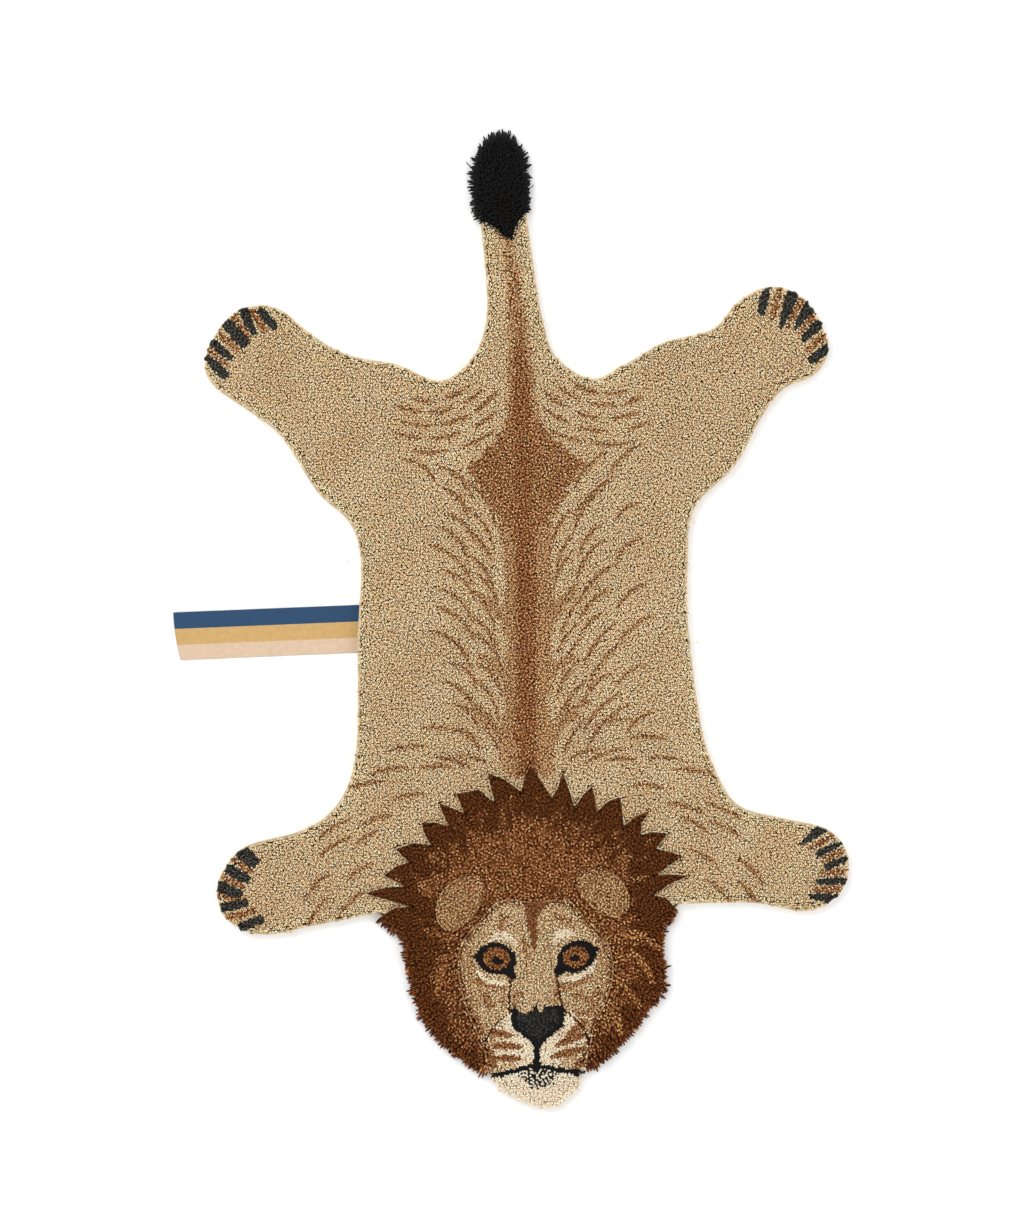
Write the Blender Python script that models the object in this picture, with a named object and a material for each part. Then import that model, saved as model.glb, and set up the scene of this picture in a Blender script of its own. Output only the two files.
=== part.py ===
"""Lion shaped kids rug: a tufted wool pile rug in the outline of a lion's hide, lying flat.

Frame: metres, +Z up. The underside lies on z = 0 and the origin is on it, on the spine
midway between the fore and the hind legs. +Y runs to the tail, -Y to the head.
One base cloth carries every yarn zone, and each zone is a pile slab of its own height.
"""

import math
from collections import namedtuple

import bmesh
import bpy
import numpy as np
from mathutils import Vector, noise

MM = 0.001

# Heights above the floor, in millimetres.
BASE_THICK = 3.0
SEAT_GAP = 0.3
PILE_FOOT = BASE_THICK + SEAT_GAP
BODY_TOP = 13.0
FACE_TOP = 13.5
EAR_TOP = 15.0
SHAG_FACE_EDGE = 14.5
SHAG_SHOULDER = 17.0
SHAG_TOP = 18.0
SHAG_RIM = 12.0
SHAG_RIM_MIDDLE = 7.8
RIBBON_THICK = 1.0
CUTTER_LOW = -1.0
CUTTER_HIGH = SHAG_TOP + 4.0

# Widths in plan, in millimetres.
ZONE_GAP = 0.5
BASE_RIM = 2.0
PILE_ROUND = 3.5
FACE_ROUND = 2.5
SHAG_ROUND = 4.0
SHAG_OVERHANG = 2.0
LUMP_HEIGHT = 1.3
LUMP_SIZE = 24.0

# Points of the outline, as places in plan in millimetres on both sides of the spine.
Landmark = namedtuple("Landmark", "name left_x left_y right_x right_y")

# The whole hide's outline, from the tail down each side to the neck.
OUTLINE = [
    Landmark("tail_under_brush", -27, 371, 17, 374),
    Landmark("tail_middle", -24, 321, 22, 322),
    Landmark("tail_root", -25, 280, 28, 276),
    Landmark("rump_curve", -39, 244, 39, 241),
    Landmark("rump_notch", -71, 223, 72, 219),
    Landmark("thigh_top", -110, 240, 104, 232),
    Landmark("hock", -159, 252, 142, 251),
    Landmark("hind_heel", -195, 276, 187, 261),
    Landmark("hind_instep", -216, 295, 212, 286),
    Landmark("hind_paw_top", -240, 301, 244, 299),
    Landmark("hind_toe_inner", -268, 290, 276, 284),
    Landmark("hind_paw_tip", -290, 255, 295, 242),
    Landmark("hind_toe_outer", -285, 229, 282, 215),
    Landmark("hind_shank", -250, 201, 251, 202),
    Landmark("hind_knee", -221, 176, 228, 174),
    Landmark("flank_rear", -190, 123, 203, 132),
    Landmark("flank_corner", -162, 95, 163, 94),
    Landmark("waist_rear", -152, 58, 155, 45),
    Landmark("waist_middle", -158, -17, 153, -20),
    Landmark("waist_front", -162, -106, 161, -110),
    Landmark("shoulder", -172, -151, 172, -151),
    Landmark("elbow", -193, -180, 192, -186),
    Landmark("fore_shank_top", -223, -195, 232, -200),
    Landmark("fore_paw_top", -271, -206, 273, -211),
    Landmark("fore_toe_front", -293, -228, 291, -230),
    Landmark("fore_paw_tip", -300, -249, 294, -254),
    Landmark("fore_toe_rear", -291, -275, 282, -276),
    Landmark("fore_paw_bottom", -259, -290, 252, -289),
    Landmark("fore_shank_bottom", -214, -284, 205, -279),
    Landmark("neck", -150, -274, 134, -277),
]

# Where the body pile's own loop crosses the head, inside the mane's space.
THROAT = [(-60.0, -300.0), (60.0, -300.0)]

# The rim of the mane's slab below the neck, down to the corners of the mouth.
MANE_RIM = [
    Landmark("shoulder", -146, -277, 129, -281),
    Landmark("temple", -126, -296, 116, -299),
    Landmark("upper_cheek", -124, -318, 115, -328),
    Landmark("cheek", -119, -343, 115, -355),
    Landmark("jaw", -114, -364, 104, -368),
    Landmark("lower_jaw", -103, -384, 92, -381),
    Landmark("throat", -91, -400, 78, -399),
    Landmark("beard", -76, -412, 63, -413),
    Landmark("chin_side", -62, -422, 49, -423),
    Landmark("mouth", -54, -429, 39, -433),
]

# The face's edge, from the forehead down each side to the mouth, and the chin below it.
FACE_SIDES = [
    Landmark("forehead", -4, -269, -4, -269),
    Landmark("brow", -34, -266, 28, -269),
    Landmark("temple", -53, -283, 42, -283),
    Landmark("upper_cheek", -72, -305, 64, -308),
    Landmark("cheek", -76, -331, 69, -335),
    Landmark("lower_cheek", -72, -359, 62, -363),
    Landmark("jaw", -64, -382, 51, -383),
    Landmark("muzzle_side", -55, -405, 45, -404),
    Landmark("mouth_corner", -51, -428, 36, -430),
]
CHIN_SIDE = Landmark("chin_side", -37, -445, 27, -448)
CHIN_TIP = (1.0, -461.0)

# The mane's flame points over the shoulders, by bearing and reach from the head's centre.
# A valley lies after each tip, and the last tip has none. A side that rises to a tip or falls
# from it bows outwards by a share of its length, or inwards where that is negative.
HEAD_CENTRE = (-3.0, -296.0)
Spike = namedtuple("Spike", "tip_bearing tip_reach valley_bearing valley_reach rise_bow fall_bow")
SPIKES = [
    Spike(171, 148, 166.5, 116, 0.0, 0.04),
    Spike(165, 161, 158.6, 126, 0.0, 0.05),
    Spike(157.2, 149, 148.6, 132, 0.0, 0.09),
    Spike(147, 150, 138, 125, 0.04, 0.1),
    Spike(134, 146, 127, 124, 0.05, 0.09),
    Spike(124.4, 148, 118.4, 127, 0.02, 0.01),
    Spike(117.2, 147, 104.9, 124, 0.0, 0.23),
    Spike(104, 153, 93.3, 130, 0.0, 0.07),
    Spike(89, 154, 80, 124, 0.03, 0.0),
    Spike(77.5, 149, 69.5, 120, -0.04, 0.0),
    Spike(66, 145, 59.7, 124, 0.05, 0.0),
    Spike(55, 148, 47, 127, 0.13, 0.0),
    Spike(44, 154, 39.8, 133, 0.08, -0.14),
    Spike(34, 153, 32, 136, 0.08, 0.0),
    Spike(24.6, 154, 22.6, 123, 0.02, 0.0),
    Spike(17.5, 151, 14.5, 115, 0.02, -0.05),
    Spike(7, 134, None, None, 0.13, 0.0),
]

# Each ear is an oval with a fuller outer half, set in the mane.
Ear = namedtuple("Ear", "name x y long_axis_bearing outer_side")
EARS = [
    Ear("ear_left", -70, -268, 50, 1.0),
    Ear("ear_right", 61, -264, 137, -1.0),
]
EAR_HALF_LENGTH = 29.0
EAR_OUTER_HALF_WIDTH = 22.0
EAR_INNER_HALF_WIDTH = 15.0
EAR_POINTS = 36

# The tail brush's rim, clockwise seen from above: its round end, then its jagged point.
BRUSH_CENTRE = (-5.0, 408.0)
RimPoint = namedtuple("RimPoint", "name x y")
BRUSH_ROUND = [
    RimPoint("root_left", -27, 377),
    RimPoint("lower_left", -31, 391),
    RimPoint("left", -32, 408),
    RimPoint("upper_left", -28, 430),
    RimPoint("crown_left", -17, 443),
    RimPoint("tip", -3, 447),
    RimPoint("crown_right", 7, 443),
    RimPoint("upper_right", 15, 430),
    RimPoint("right", 18, 408),
    RimPoint("lower_right", 17, 391),
    RimPoint("root_right", 15, 378),
]
BRUSH_POINT = [
    RimPoint("step_right", 6, 366),
    RimPoint("point", 2, 353),
    RimPoint("barb_inner", -5, 356),
    RimPoint("step_inner", -13, 365),
    RimPoint("step_left", -22, 370),
]

# Locks of yarn that stand out of the shag's rim.
LOCK_PITCH = 5.0
LOCK_LENGTH = 9.0
LOCK_LENGTH_SPREAD = 2.5
LOCK_DROOP = 3.0
LOCK_SWAY = 0.28
LOCK_TIP_SCALE = 0.3
LOCK_SEED = 11
BRUSH_ROOT_CLEAR = 2

# The woven side ribbon, sewn under the left edge at the waist.
RIBBON_WIDTH = 45.0
RIBBON_ROOT_X = -142.0
RIBBON_END_X = -330.0
RIBBON_MIDDLE_Y = -6.5
RIBBON_SEAT_PLAY = 0.5

SPAN_STEPS = 4
WELD = 0.00001

COLLECTION_NAME = "lion_shaped_rug"
CUTTER_COLLECTION_NAME = "cutters"


def clear_scene():
    """Remove every object of the open file."""
    for item in list(bpy.data.objects):
        bpy.data.objects.remove(item, do_unlink=True)


def new_collection(name):
    """Make a collection and link it to the scene."""
    collection = bpy.data.collections.new(name)
    bpy.context.scene.collection.children.link(collection)
    return collection


def linear(channel):
    """Turn one display colour channel (0 to 255) into a linear value."""
    value = channel / 255.0
    if value <= 0.04045:
        return value / 12.92
    return ((value + 0.055) / 1.055) ** 2.4


def yarn(name, red, green, blue, roughness=0.95):
    """Make a plain Principled material for one yarn or cloth."""
    material = bpy.data.materials.new(name)
    material.use_nodes = True
    shader = material.node_tree.nodes["Principled BSDF"]
    colour = (linear(red), linear(green), linear(blue), 1.0)
    shader.inputs["Base Color"].default_value = colour
    shader.inputs["Roughness"].default_value = roughness
    shader.inputs["Metallic"].default_value = 0.0
    material.diffuse_color = colour
    return material


def left_side(rows):
    """Return the left points of a landmark table."""
    return np.array([(row.left_x, row.left_y) for row in rows], dtype=float)


def right_side(rows):
    """Return the right points of a landmark table."""
    return np.array([(row.right_x, row.right_y) for row in rows], dtype=float)


def smooth_line(points, closed=False):
    """Carry a Catmull-Rom curve through the points, in a few steps for each span."""
    points = np.asarray(points, dtype=float)
    if closed:
        padded = np.vstack([points[-1:], points, points[:2]])
    else:
        before = 2.0 * points[0] - points[1]
        after = 2.0 * points[-1] - points[-2]
        padded = np.vstack([before, points, after])
    a = padded[:-3, None]
    b = padded[1:-2, None]
    c = padded[2:-1, None]
    d = padded[3:, None]
    t = (np.arange(SPAN_STEPS) / SPAN_STEPS)[None, :, None]
    cubic = 3.0 * (b - c) + d - a
    square = 2.0 * a - 5.0 * b + 4.0 * c - d
    line = (b + 0.5 * t * (c - a + t * (square + t * cubic))).reshape(-1, 2)
    return line if closed else np.vstack([line, points[-1]])


def even_line(line, pitch):
    """Space the points of an open line evenly, about one pitch apart."""
    steps = np.hypot(*np.diff(line, axis=0).T)
    run = np.concatenate([[0.0], np.cumsum(steps)])
    stops = np.linspace(0.0, run[-1], int(round(run[-1] / pitch)) + 1)
    x = np.interp(stops, run, line[:, 0])
    y = np.interp(stops, run, line[:, 1])
    return np.column_stack([x, y])


def grown(loop, distance):
    """Move a closed loop outwards by a distance, with mitred corners (inwards if negative)."""
    ahead = np.roll(loop, -1, axis=0) - loop
    ahead /= np.linalg.norm(ahead, axis=1)[:, None]
    x, y = loop.T
    area = 0.5 * np.sum(x * np.roll(y, -1) - np.roll(x, -1) * y)
    normals = math.copysign(1.0, area) * np.column_stack([ahead[:, 1], -ahead[:, 0]])
    mitre = normals + np.roll(normals, 1, axis=0)
    sharpest = 0.35
    scale = 2.0 / np.maximum(np.sum(mitre * mitre, axis=1), sharpest)
    return loop + distance * mitre * scale[:, None]


def drawn_in(line, centre, distance):
    """Move the points of a line towards a centre by a distance."""
    inward = np.array(centre) - line
    return line + distance * inward / np.linalg.norm(inward, axis=1)[:, None]


def polar(centre, bearing_deg, reach):
    """Return the point at a bearing and a reach from a centre."""
    angle = math.radians(bearing_deg)
    return np.array(centre) + reach * np.array([math.cos(angle), math.sin(angle)])


def lumps(places):
    """Return the shag's lumpy rise at places in plan, in millimetres."""
    rise = [noise.noise(Vector((x / LUMP_SIZE, y / LUMP_SIZE, 0.5))) for x, y in places]
    return LUMP_HEIGHT * np.array(rise)


def brush_round():
    """Return the tail brush's round end, with a point for each lock."""
    return even_line(smooth_line([(row.x, row.y) for row in BRUSH_ROUND]), LOCK_PITCH)


def brush_loop():
    """Return the tail brush's whole rim: its round end and its jagged point on the tail."""
    point = np.array([(row.x, row.y) for row in BRUSH_POINT], dtype=float)
    return np.vstack([brush_round(), point])


def bowed_middle(start, end, bow):
    """Return the middle of a spike's side, moved outwards by a share of its length."""
    along = end - start
    middle = 0.5 * (start + end)
    across = np.array([-along[1], along[0]])
    if np.dot(across, middle - np.array(HEAD_CENTRE)) < 0.0:
        across = -across
    return middle + bow * across


def spike_line():
    """Return the mane's jagged upper edge, from the left shoulder to the right one."""
    line = []
    for spike in SPIKES:
        tip = polar(HEAD_CENTRE, spike.tip_bearing, spike.tip_reach)
        if line:
            line.append(bowed_middle(line[-1], tip, spike.rise_bow))
        line.append(tip)
        if spike.valley_bearing is not None:
            valley = polar(HEAD_CENTRE, spike.valley_bearing, spike.valley_reach)
            line += [bowed_middle(tip, valley, spike.fall_bow), valley]
    return np.array(line)


def mane_rims():
    """Return the mane's left rim from mouth to neck, and its right rim from neck to mouth."""
    left_rim = even_line(smooth_line(left_side(MANE_RIM)), LOCK_PITCH)[::-1]
    right_rim = even_line(smooth_line(right_side(MANE_RIM)), LOCK_PITCH)
    return left_rim, right_rim


def mane_edge():
    """Return the mane's outer line, from the left mouth corner over the top to the right one."""
    left_rim, right_rim = mane_rims()
    return np.vstack([left_rim, spike_line()[1:-1], right_rim])


def face_loop():
    """Return the face's closed outline."""
    left = left_side(FACE_SIDES + [CHIN_SIDE])
    right = right_side(FACE_SIDES[1:] + [CHIN_SIDE])
    return smooth_line(np.vstack([left, [CHIN_TIP], right[::-1]]), closed=True)


def bearings(line):
    """Return each point's bearing from the head's centre, counted on past 180 on the left."""
    away = line - np.array(HEAD_CENTRE)
    angle = np.degrees(np.arctan2(away[:, 1], away[:, 0]))
    return np.where(angle < -90.0, angle + 360.0, angle)


def face_edge_at(angles):
    """Return the point of the face's edge at each bearing from the head's centre."""
    loop = face_loop()
    loop = loop[np.argsort(bearings(loop))]
    x = np.interp(angles, bearings(loop), loop[:, 0])
    y = np.interp(angles, bearings(loop), loop[:, 1])
    return np.column_stack([x, y])


def mane_inner_line():
    """Return the mane's inner line, its points spread evenly within each stretch of the rim."""
    left_rim, right_rim = mane_rims()
    mouth_left, neck_left = bearings(left_rim[[0, -1]])
    neck_right, mouth_right = bearings(right_rim[[0, -1]])
    spike_stops = np.linspace(neck_left, neck_right, len(spike_line()))[1:-1]
    return face_edge_at(np.concatenate([
        np.linspace(mouth_left, neck_left, len(left_rim)),
        spike_stops,
        np.linspace(neck_right, mouth_right, len(right_rim)),
    ]))


def ear_loop(ear):
    """Return an ear's oval, wider on its outer side."""
    t = np.linspace(0.0, 2.0 * math.pi, EAR_POINTS, endpoint=False)
    along = EAR_HALF_LENGTH * np.cos(t)
    outer = np.sin(t) * ear.outer_side > 0.0
    across = np.sin(t) * np.where(outer, EAR_OUTER_HALF_WIDTH, EAR_INNER_HALF_WIDTH)
    angle = math.radians(ear.long_axis_bearing)
    x = ear.x + along * math.cos(angle) - across * math.sin(angle)
    y = ear.y + along * math.sin(angle) + across * math.cos(angle)
    return np.column_stack([x, y])


def hide_loop():
    """Return the base cloth's outline: the hide, drawn in under the mane, chin and brush."""
    left = smooth_line(left_side(OUTLINE))
    right = smooth_line(right_side(OUTLINE))[::-1]
    left_rim = smooth_line(left_side(MANE_RIM[1:-1]))
    right_rim = smooth_line(right_side(MANE_RIM[1:-1]))[::-1]
    left_chin = left_side([FACE_SIDES[-1], CHIN_SIDE])
    right_chin = right_side([FACE_SIDES[-1], CHIN_SIDE])[::-1]
    chin = smooth_line(np.vstack([left_chin, [CHIN_TIP], right_chin]))
    head = drawn_in(np.vstack([left_rim, chin, right_rim]), HEAD_CENTRE, SHAG_OVERHANG)
    tail_end = brush_round()[BRUSH_ROOT_CLEAR:-BRUSH_ROOT_CLEAR][::-1]
    tail_end = drawn_in(tail_end, BRUSH_CENTRE, SHAG_OVERHANG)
    return np.vstack([left, head, right, tail_end])


def to_mesh(shape, collection):
    """Replace a curve object by a welded mesh object of the same name and place."""
    bpy.context.view_layer.update()
    evaluated = shape.evaluated_get(bpy.context.evaluated_depsgraph_get())
    mesh = bpy.data.meshes.new_from_object(evaluated)
    name = shape.name
    place = shape.matrix_world.copy()
    curve = shape.data
    bpy.data.objects.remove(shape, do_unlink=True)
    bpy.data.curves.remove(curve)
    welded = bmesh.new()
    welded.from_mesh(mesh)
    bmesh.ops.remove_doubles(welded, verts=welded.verts, dist=WELD)
    bmesh.ops.recalc_face_normals(welded, faces=welded.faces)
    welded.to_mesh(mesh)
    welded.free()
    piece = bpy.data.objects.new(name, mesh)
    piece.matrix_world = place
    collection.objects.link(piece)
    return piece


def flat_slab(name, loop, low, high, collection, edge_round=0.0):
    """Fill a closed outline as a 2D curve, from one height to another, with rounded edges."""
    curve = bpy.data.curves.new(name, "CURVE")
    curve.dimensions = "2D"
    curve.fill_mode = "BOTH"
    curve.extrude = (0.5 * (high - low) - edge_round) * MM
    curve.bevel_depth = edge_round * MM
    curve.bevel_resolution = 1
    spline = curve.splines.new("POLY")
    spline.points.add(len(loop) - 1)
    for point, (x, y) in zip(spline.points, grown(loop, -edge_round)):
        point.co = (x * MM, y * MM, 0.0, 1.0)
    spline.use_cyclic_u = True
    shape = bpy.data.objects.new(name, curve)
    shape.location.z = 0.5 * (low + high) * MM
    collection.objects.link(shape)
    return to_mesh(shape, collection)


def cut_space(piece, name, loop, cutters):
    """Cut an upright space of a closed outline through the whole height of a piece."""
    cut(piece, flat_slab(name, loop, CUTTER_LOW, CUTTER_HIGH, cutters))


def cut(piece, cutter):
    """Take a cutter out of a piece with an exact Boolean."""
    cutter.hide_render = True
    cutter.display_type = "WIRE"
    boolean = piece.modifiers.new("cut_" + cutter.name, "BOOLEAN")
    boolean.operation = "DIFFERENCE"
    boolean.solver = "EXACT"
    boolean.object = cutter


def loft(name, sections, lock_walls, centre, rng, collection):
    """Bridge closed sections of equal length, cap both ends and pull locks out of some walls.

    sections is an array of section, point and coordinate, in millimetres. lock_walls lists
    (section, point) pairs: the wall between that point and the next, up to the next section.
    The locks fan out from the centre in plan.
    """
    count, ring, _ = sections.shape
    body = bmesh.new()
    grid = [[body.verts.new(Vector(point) * MM) for point in section] for section in sections]
    walls = {}
    for i in range(count - 1):
        for j in range(ring):
            k = (j + 1) % ring
            corners = (grid[i][j], grid[i][k], grid[i + 1][k], grid[i + 1][j])
            walls[(i, j)] = body.faces.new(corners)
    body.faces.new(grid[0][::-1])
    body.faces.new(grid[-1])
    bmesh.ops.recalc_face_normals(body, faces=body.faces)
    grow_locks(body, [walls[place] for place in lock_walls], centre, rng)
    mesh = bpy.data.meshes.new(name)
    body.to_mesh(mesh)
    body.free()
    piece = bpy.data.objects.new(name, mesh)
    collection.objects.link(piece)
    return piece


def grow_locks(body, roots, centre, rng):
    """Extrude each root wall into one four-sided lock, thin and drooping at its tip."""
    origin = Vector((centre[0], centre[1], 0.0)) * MM
    for face in bmesh.ops.extrude_discrete_faces(body, faces=roots)["faces"]:
        middle = face.calc_center_median()
        outward = middle - origin
        outward.z = 0.0
        outward.normalize()
        tangent = Vector((-outward.y, outward.x, 0.0))
        width = max(abs((vert.co - middle).dot(tangent)) for vert in face.verts) * 2.0
        length = (LOCK_LENGTH + LOCK_LENGTH_SPREAD * rng.uniform(-1.0, 1.0)) * MM
        sway = width * LOCK_SWAY * rng.uniform(-1.0, 1.0)
        move = outward * length + tangent * sway - Vector((0.0, 0.0, LOCK_DROOP * MM))
        for vert in face.verts:
            vert.co = middle + (vert.co - middle) * LOCK_TIP_SCALE + move


def at_height(line, height):
    """Return a line in plan with a height added to its points."""
    return np.column_stack([line, np.full(len(line), height)])


def ribbon_loop(end_x, root_x, play):
    """Return the ribbon's outline in plan, wider by the play on each side."""
    low = RIBBON_MIDDLE_Y - 0.5 * RIBBON_WIDTH - play
    high = RIBBON_MIDDLE_Y + 0.5 * RIBBON_WIDTH + play
    return np.array([(end_x, low), (root_x, low), (root_x, high), (end_x, high)])


def base_cloth(collection, cutters):
    """One cut base cloth under every zone, with a shallow seat for the ribbon's root."""
    cloth = flat_slab("base_cloth", hide_loop(), 0.0, BASE_THICK, collection)
    loop = ribbon_loop(RIBBON_END_X, RIBBON_ROOT_X + RIBBON_SEAT_PLAY, RIBBON_SEAT_PLAY)
    cut(cloth, flat_slab("ribbon_seat", loop, CUTTER_LOW, RIBBON_THICK + SEAT_GAP, cutters))
    return cloth


def body_pile(collection, cutters):
    """The tan pile of trunk, legs and tail, cut short at the mane and at the tail brush."""
    left = smooth_line(left_side(OUTLINE))
    right = smooth_line(right_side(OUTLINE))[::-1]
    loop = grown(np.vstack([left, THROAT, right, [BRUSH_CENTRE]]), -BASE_RIM)
    pile = flat_slab("body_pile", loop, PILE_FOOT, BODY_TOP, collection, PILE_ROUND)
    cut_space(pile, "mane_space", grown(mane_edge(), ZONE_GAP), cutters)
    cut_space(pile, "brush_space", grown(brush_loop(), ZONE_GAP), cutters)
    return pile


def mane_sections():
    """Return the mane's cross sections, from one mouth corner over the top to the other.

    Each section climbs the face side, crosses the lumpy top and comes down the outer side.
    """
    outer = mane_edge()
    inner = mane_inner_line()
    across = outer - inner
    width = np.linalg.norm(across, axis=1)
    rounded = np.minimum(SHAG_ROUND / width, 0.2)
    levels = [
        (np.zeros(len(width)), SHAG_FACE_EDGE, 0.0),
        (rounded, SHAG_SHOULDER, 0.5),
        (np.full(len(width), 0.36), SHAG_TOP, 1.0),
        (np.full(len(width), 0.68), SHAG_TOP, 1.0),
        (1.0 - rounded, SHAG_SHOULDER, 0.5),
    ]
    rings = [at_height(inner, PILE_FOOT)]
    for share, height, lumpy in levels:
        place = inner + across * share[:, None]
        rings.append(np.column_stack([place, height + lumpy * lumps(place)]))
    rim_height = np.where(on_mane_rim(), SHAG_RIM, SHAG_FACE_EDGE)
    rings.append(np.column_stack([outer, rim_height]))
    rings.append(at_height(outer, SHAG_RIM_MIDDLE))
    rings.append(at_height(outer, PILE_FOOT))
    return np.stack(rings, axis=1)


def on_mane_rim():
    """Return, for each point of the mane's outer line, whether it is on the free lower rim."""
    left_rim, right_rim = mane_rims()
    spikes = len(spike_line()) - 2
    return np.array([True] * len(left_rim) + [False] * spikes + [True] * len(right_rim))


def mane(collection, cutters, rng):
    """The shag mane: a lumpy horseshoe round the face, spiked above, with locks at its rim."""
    sections = mane_sections()
    lower_wall = sections.shape[1] - 2
    upper_wall = lower_wall - 1
    on_rim = on_mane_rim()
    roots = [i for i in range(1, len(on_rim) - 2) if on_rim[i] and on_rim[i + 1]]
    locks = [(i, wall) for i in roots for wall in (upper_wall, lower_wall)]
    piece = loft("mane", sections, locks, HEAD_CENTRE, rng, collection)
    for ear in EARS:
        cut_space(piece, ear.name + "_space", grown(ear_loop(ear), ZONE_GAP), cutters)
    return piece


def tail_brush(collection, rng):
    """The shag brush at the tail's end: a lumpy oval with locks round its free rim."""
    rim = brush_loop()
    centre = np.array(BRUSH_CENTRE)
    levels = [
        (1.0, PILE_FOOT, 0.0),
        (1.0, SHAG_RIM_MIDDLE, 0.0),
        (1.0, SHAG_RIM, 0.0),
        (0.86, SHAG_SHOULDER, 0.5),
        (0.6, SHAG_TOP, 1.0),
        (0.28, SHAG_TOP, 1.0),
    ]
    sections = []
    for scale, height, lumpy in levels:
        place = centre + (rim - centre) * scale
        sections.append(np.column_stack([place, height + lumpy * lumps(place)]))
    last = len(brush_round()) - 1 - BRUSH_ROOT_CLEAR
    locks = [(level, j) for level in (0, 1) for j in range(BRUSH_ROOT_CLEAR, last)]
    return loft("tail_brush", np.array(sections), locks, BRUSH_CENTRE, rng, collection)


def face_pile(collection):
    """The beige face with its chin, inside the mane's horseshoe."""
    loop = grown(face_loop(), -ZONE_GAP)
    return flat_slab("face_pile", loop, PILE_FOOT, FACE_TOP, collection, FACE_ROUND)


def ear_pile(ear, collection):
    """One ear: an oval of fawn pile in its space in the mane."""
    return flat_slab(ear.name, ear_loop(ear), PILE_FOOT, EAR_TOP, collection, FACE_ROUND)


def side_ribbon(collection):
    """The woven ribbon, its root in the seat under the base cloth."""
    loop = ribbon_loop(RIBBON_END_X, RIBBON_ROOT_X, 0.0)
    return flat_slab("side_ribbon", loop, 0.0, RIBBON_THICK, collection)


def build():
    """Model every piece of the rug and give it its yarn."""
    clear_scene()
    rug = new_collection(COLLECTION_NAME)
    cutters = new_collection(CUTTER_COLLECTION_NAME)
    rng = np.random.default_rng(LOCK_SEED)
    ear_yarn = yarn("fawn_wool_pile", 176, 142, 102)
    dressed = [
        (base_cloth(rug, cutters), yarn("cotton_base_cloth", 214, 203, 184)),
        (body_pile(rug, cutters), yarn("tan_wool_pile", 186, 157, 116)),
        (mane(rug, cutters, rng), yarn("dark_brown_wool_shag", 92, 52, 24)),
        (face_pile(rug), yarn("beige_wool_pile", 198, 170, 132)),
        (tail_brush(rug, rng), yarn("black_wool_shag", 30, 29, 29)),
        (side_ribbon(rug), yarn("banded_woven_ribbon", 200, 150, 74, 0.7)),
    ]
    dressed += [(ear_pile(ear, rug), ear_yarn) for ear in EARS]
    for piece, material in dressed:
        piece.data.materials.clear()
        piece.data.materials.append(material)


build()
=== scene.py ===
# %% [markdown]
# # A lion shaped kids rug, tuft by tuft
# The rug is a flat hide cut from cotton cloth, with thousands of short wool yarns punched
# through it. We load the packed solids first: they fix every size and place, and each piece
# below is fitted to them. All plan sizes are in millimetres until a mesh is made.

# %% Load the packed model
import math
from collections import namedtuple

import bpy
import numpy as np
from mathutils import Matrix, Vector
from mathutils.geometry import delaunay_2d_cdt


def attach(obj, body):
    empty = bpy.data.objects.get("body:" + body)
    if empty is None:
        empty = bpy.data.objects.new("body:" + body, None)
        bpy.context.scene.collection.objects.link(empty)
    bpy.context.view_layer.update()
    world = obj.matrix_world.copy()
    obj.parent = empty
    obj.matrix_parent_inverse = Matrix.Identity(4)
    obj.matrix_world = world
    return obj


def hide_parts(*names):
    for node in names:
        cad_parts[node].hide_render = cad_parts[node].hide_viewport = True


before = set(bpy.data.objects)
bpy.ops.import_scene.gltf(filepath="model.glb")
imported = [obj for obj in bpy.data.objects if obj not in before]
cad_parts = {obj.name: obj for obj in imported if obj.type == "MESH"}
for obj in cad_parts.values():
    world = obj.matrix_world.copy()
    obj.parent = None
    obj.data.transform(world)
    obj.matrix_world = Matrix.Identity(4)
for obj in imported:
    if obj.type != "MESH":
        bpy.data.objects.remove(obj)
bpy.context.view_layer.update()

MM = 0.001
SEED = 2024

# %% [markdown]
# The photograph looks straight down on the rug. One pixel of it covers 0.94 mm, and the rug
# lies turned by 2.34 degrees in it, so the camera is turned instead and the rug stays square
# to its axes. A long lens far above keeps the view as flat as the photograph's.

# %% Camera
PIXEL_MM = 0.94
IMAGE_HEIGHT_PX = 1229
TURN_DEG = 2.34
CAMERA_HEIGHT_M = 3.2
SENSOR_MM = 36.0
IMAGE_CENTRE = (-12.2, 1.0)


def add_object(name, data):
    """Put a camera, a lamp or a mesh into the scene as an object."""
    made = bpy.data.objects.new(name, data)
    bpy.context.scene.collection.objects.link(made)
    return made


def add_camera():
    """Hang the camera over the image's centre, with the lens that frames 1229 pixels of 0.94 mm."""
    data = bpy.data.cameras.new("camera")
    data.sensor_width = SENSOR_MM
    data.lens = SENSOR_MM * CAMERA_HEIGHT_M / (IMAGE_HEIGHT_PX * PIXEL_MM * MM)
    camera = add_object("camera", data)
    camera.location = (IMAGE_CENTRE[0] * MM, IMAGE_CENTRE[1] * MM, CAMERA_HEIGHT_M)
    camera.rotation_euler = (0.0, 0.0, -math.radians(TURN_DEG))
    bpy.context.scene.camera = camera
    return camera


camera = add_camera()
print("lens, mm:", round(camera.data.lens, 1))

# %% [markdown]
# The set is a plain white floor. One broad lamp stands high at the upper left, so each yarn
# has a lit side and a shaded side, and a dim lamp and the sky fill the shadows.

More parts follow.
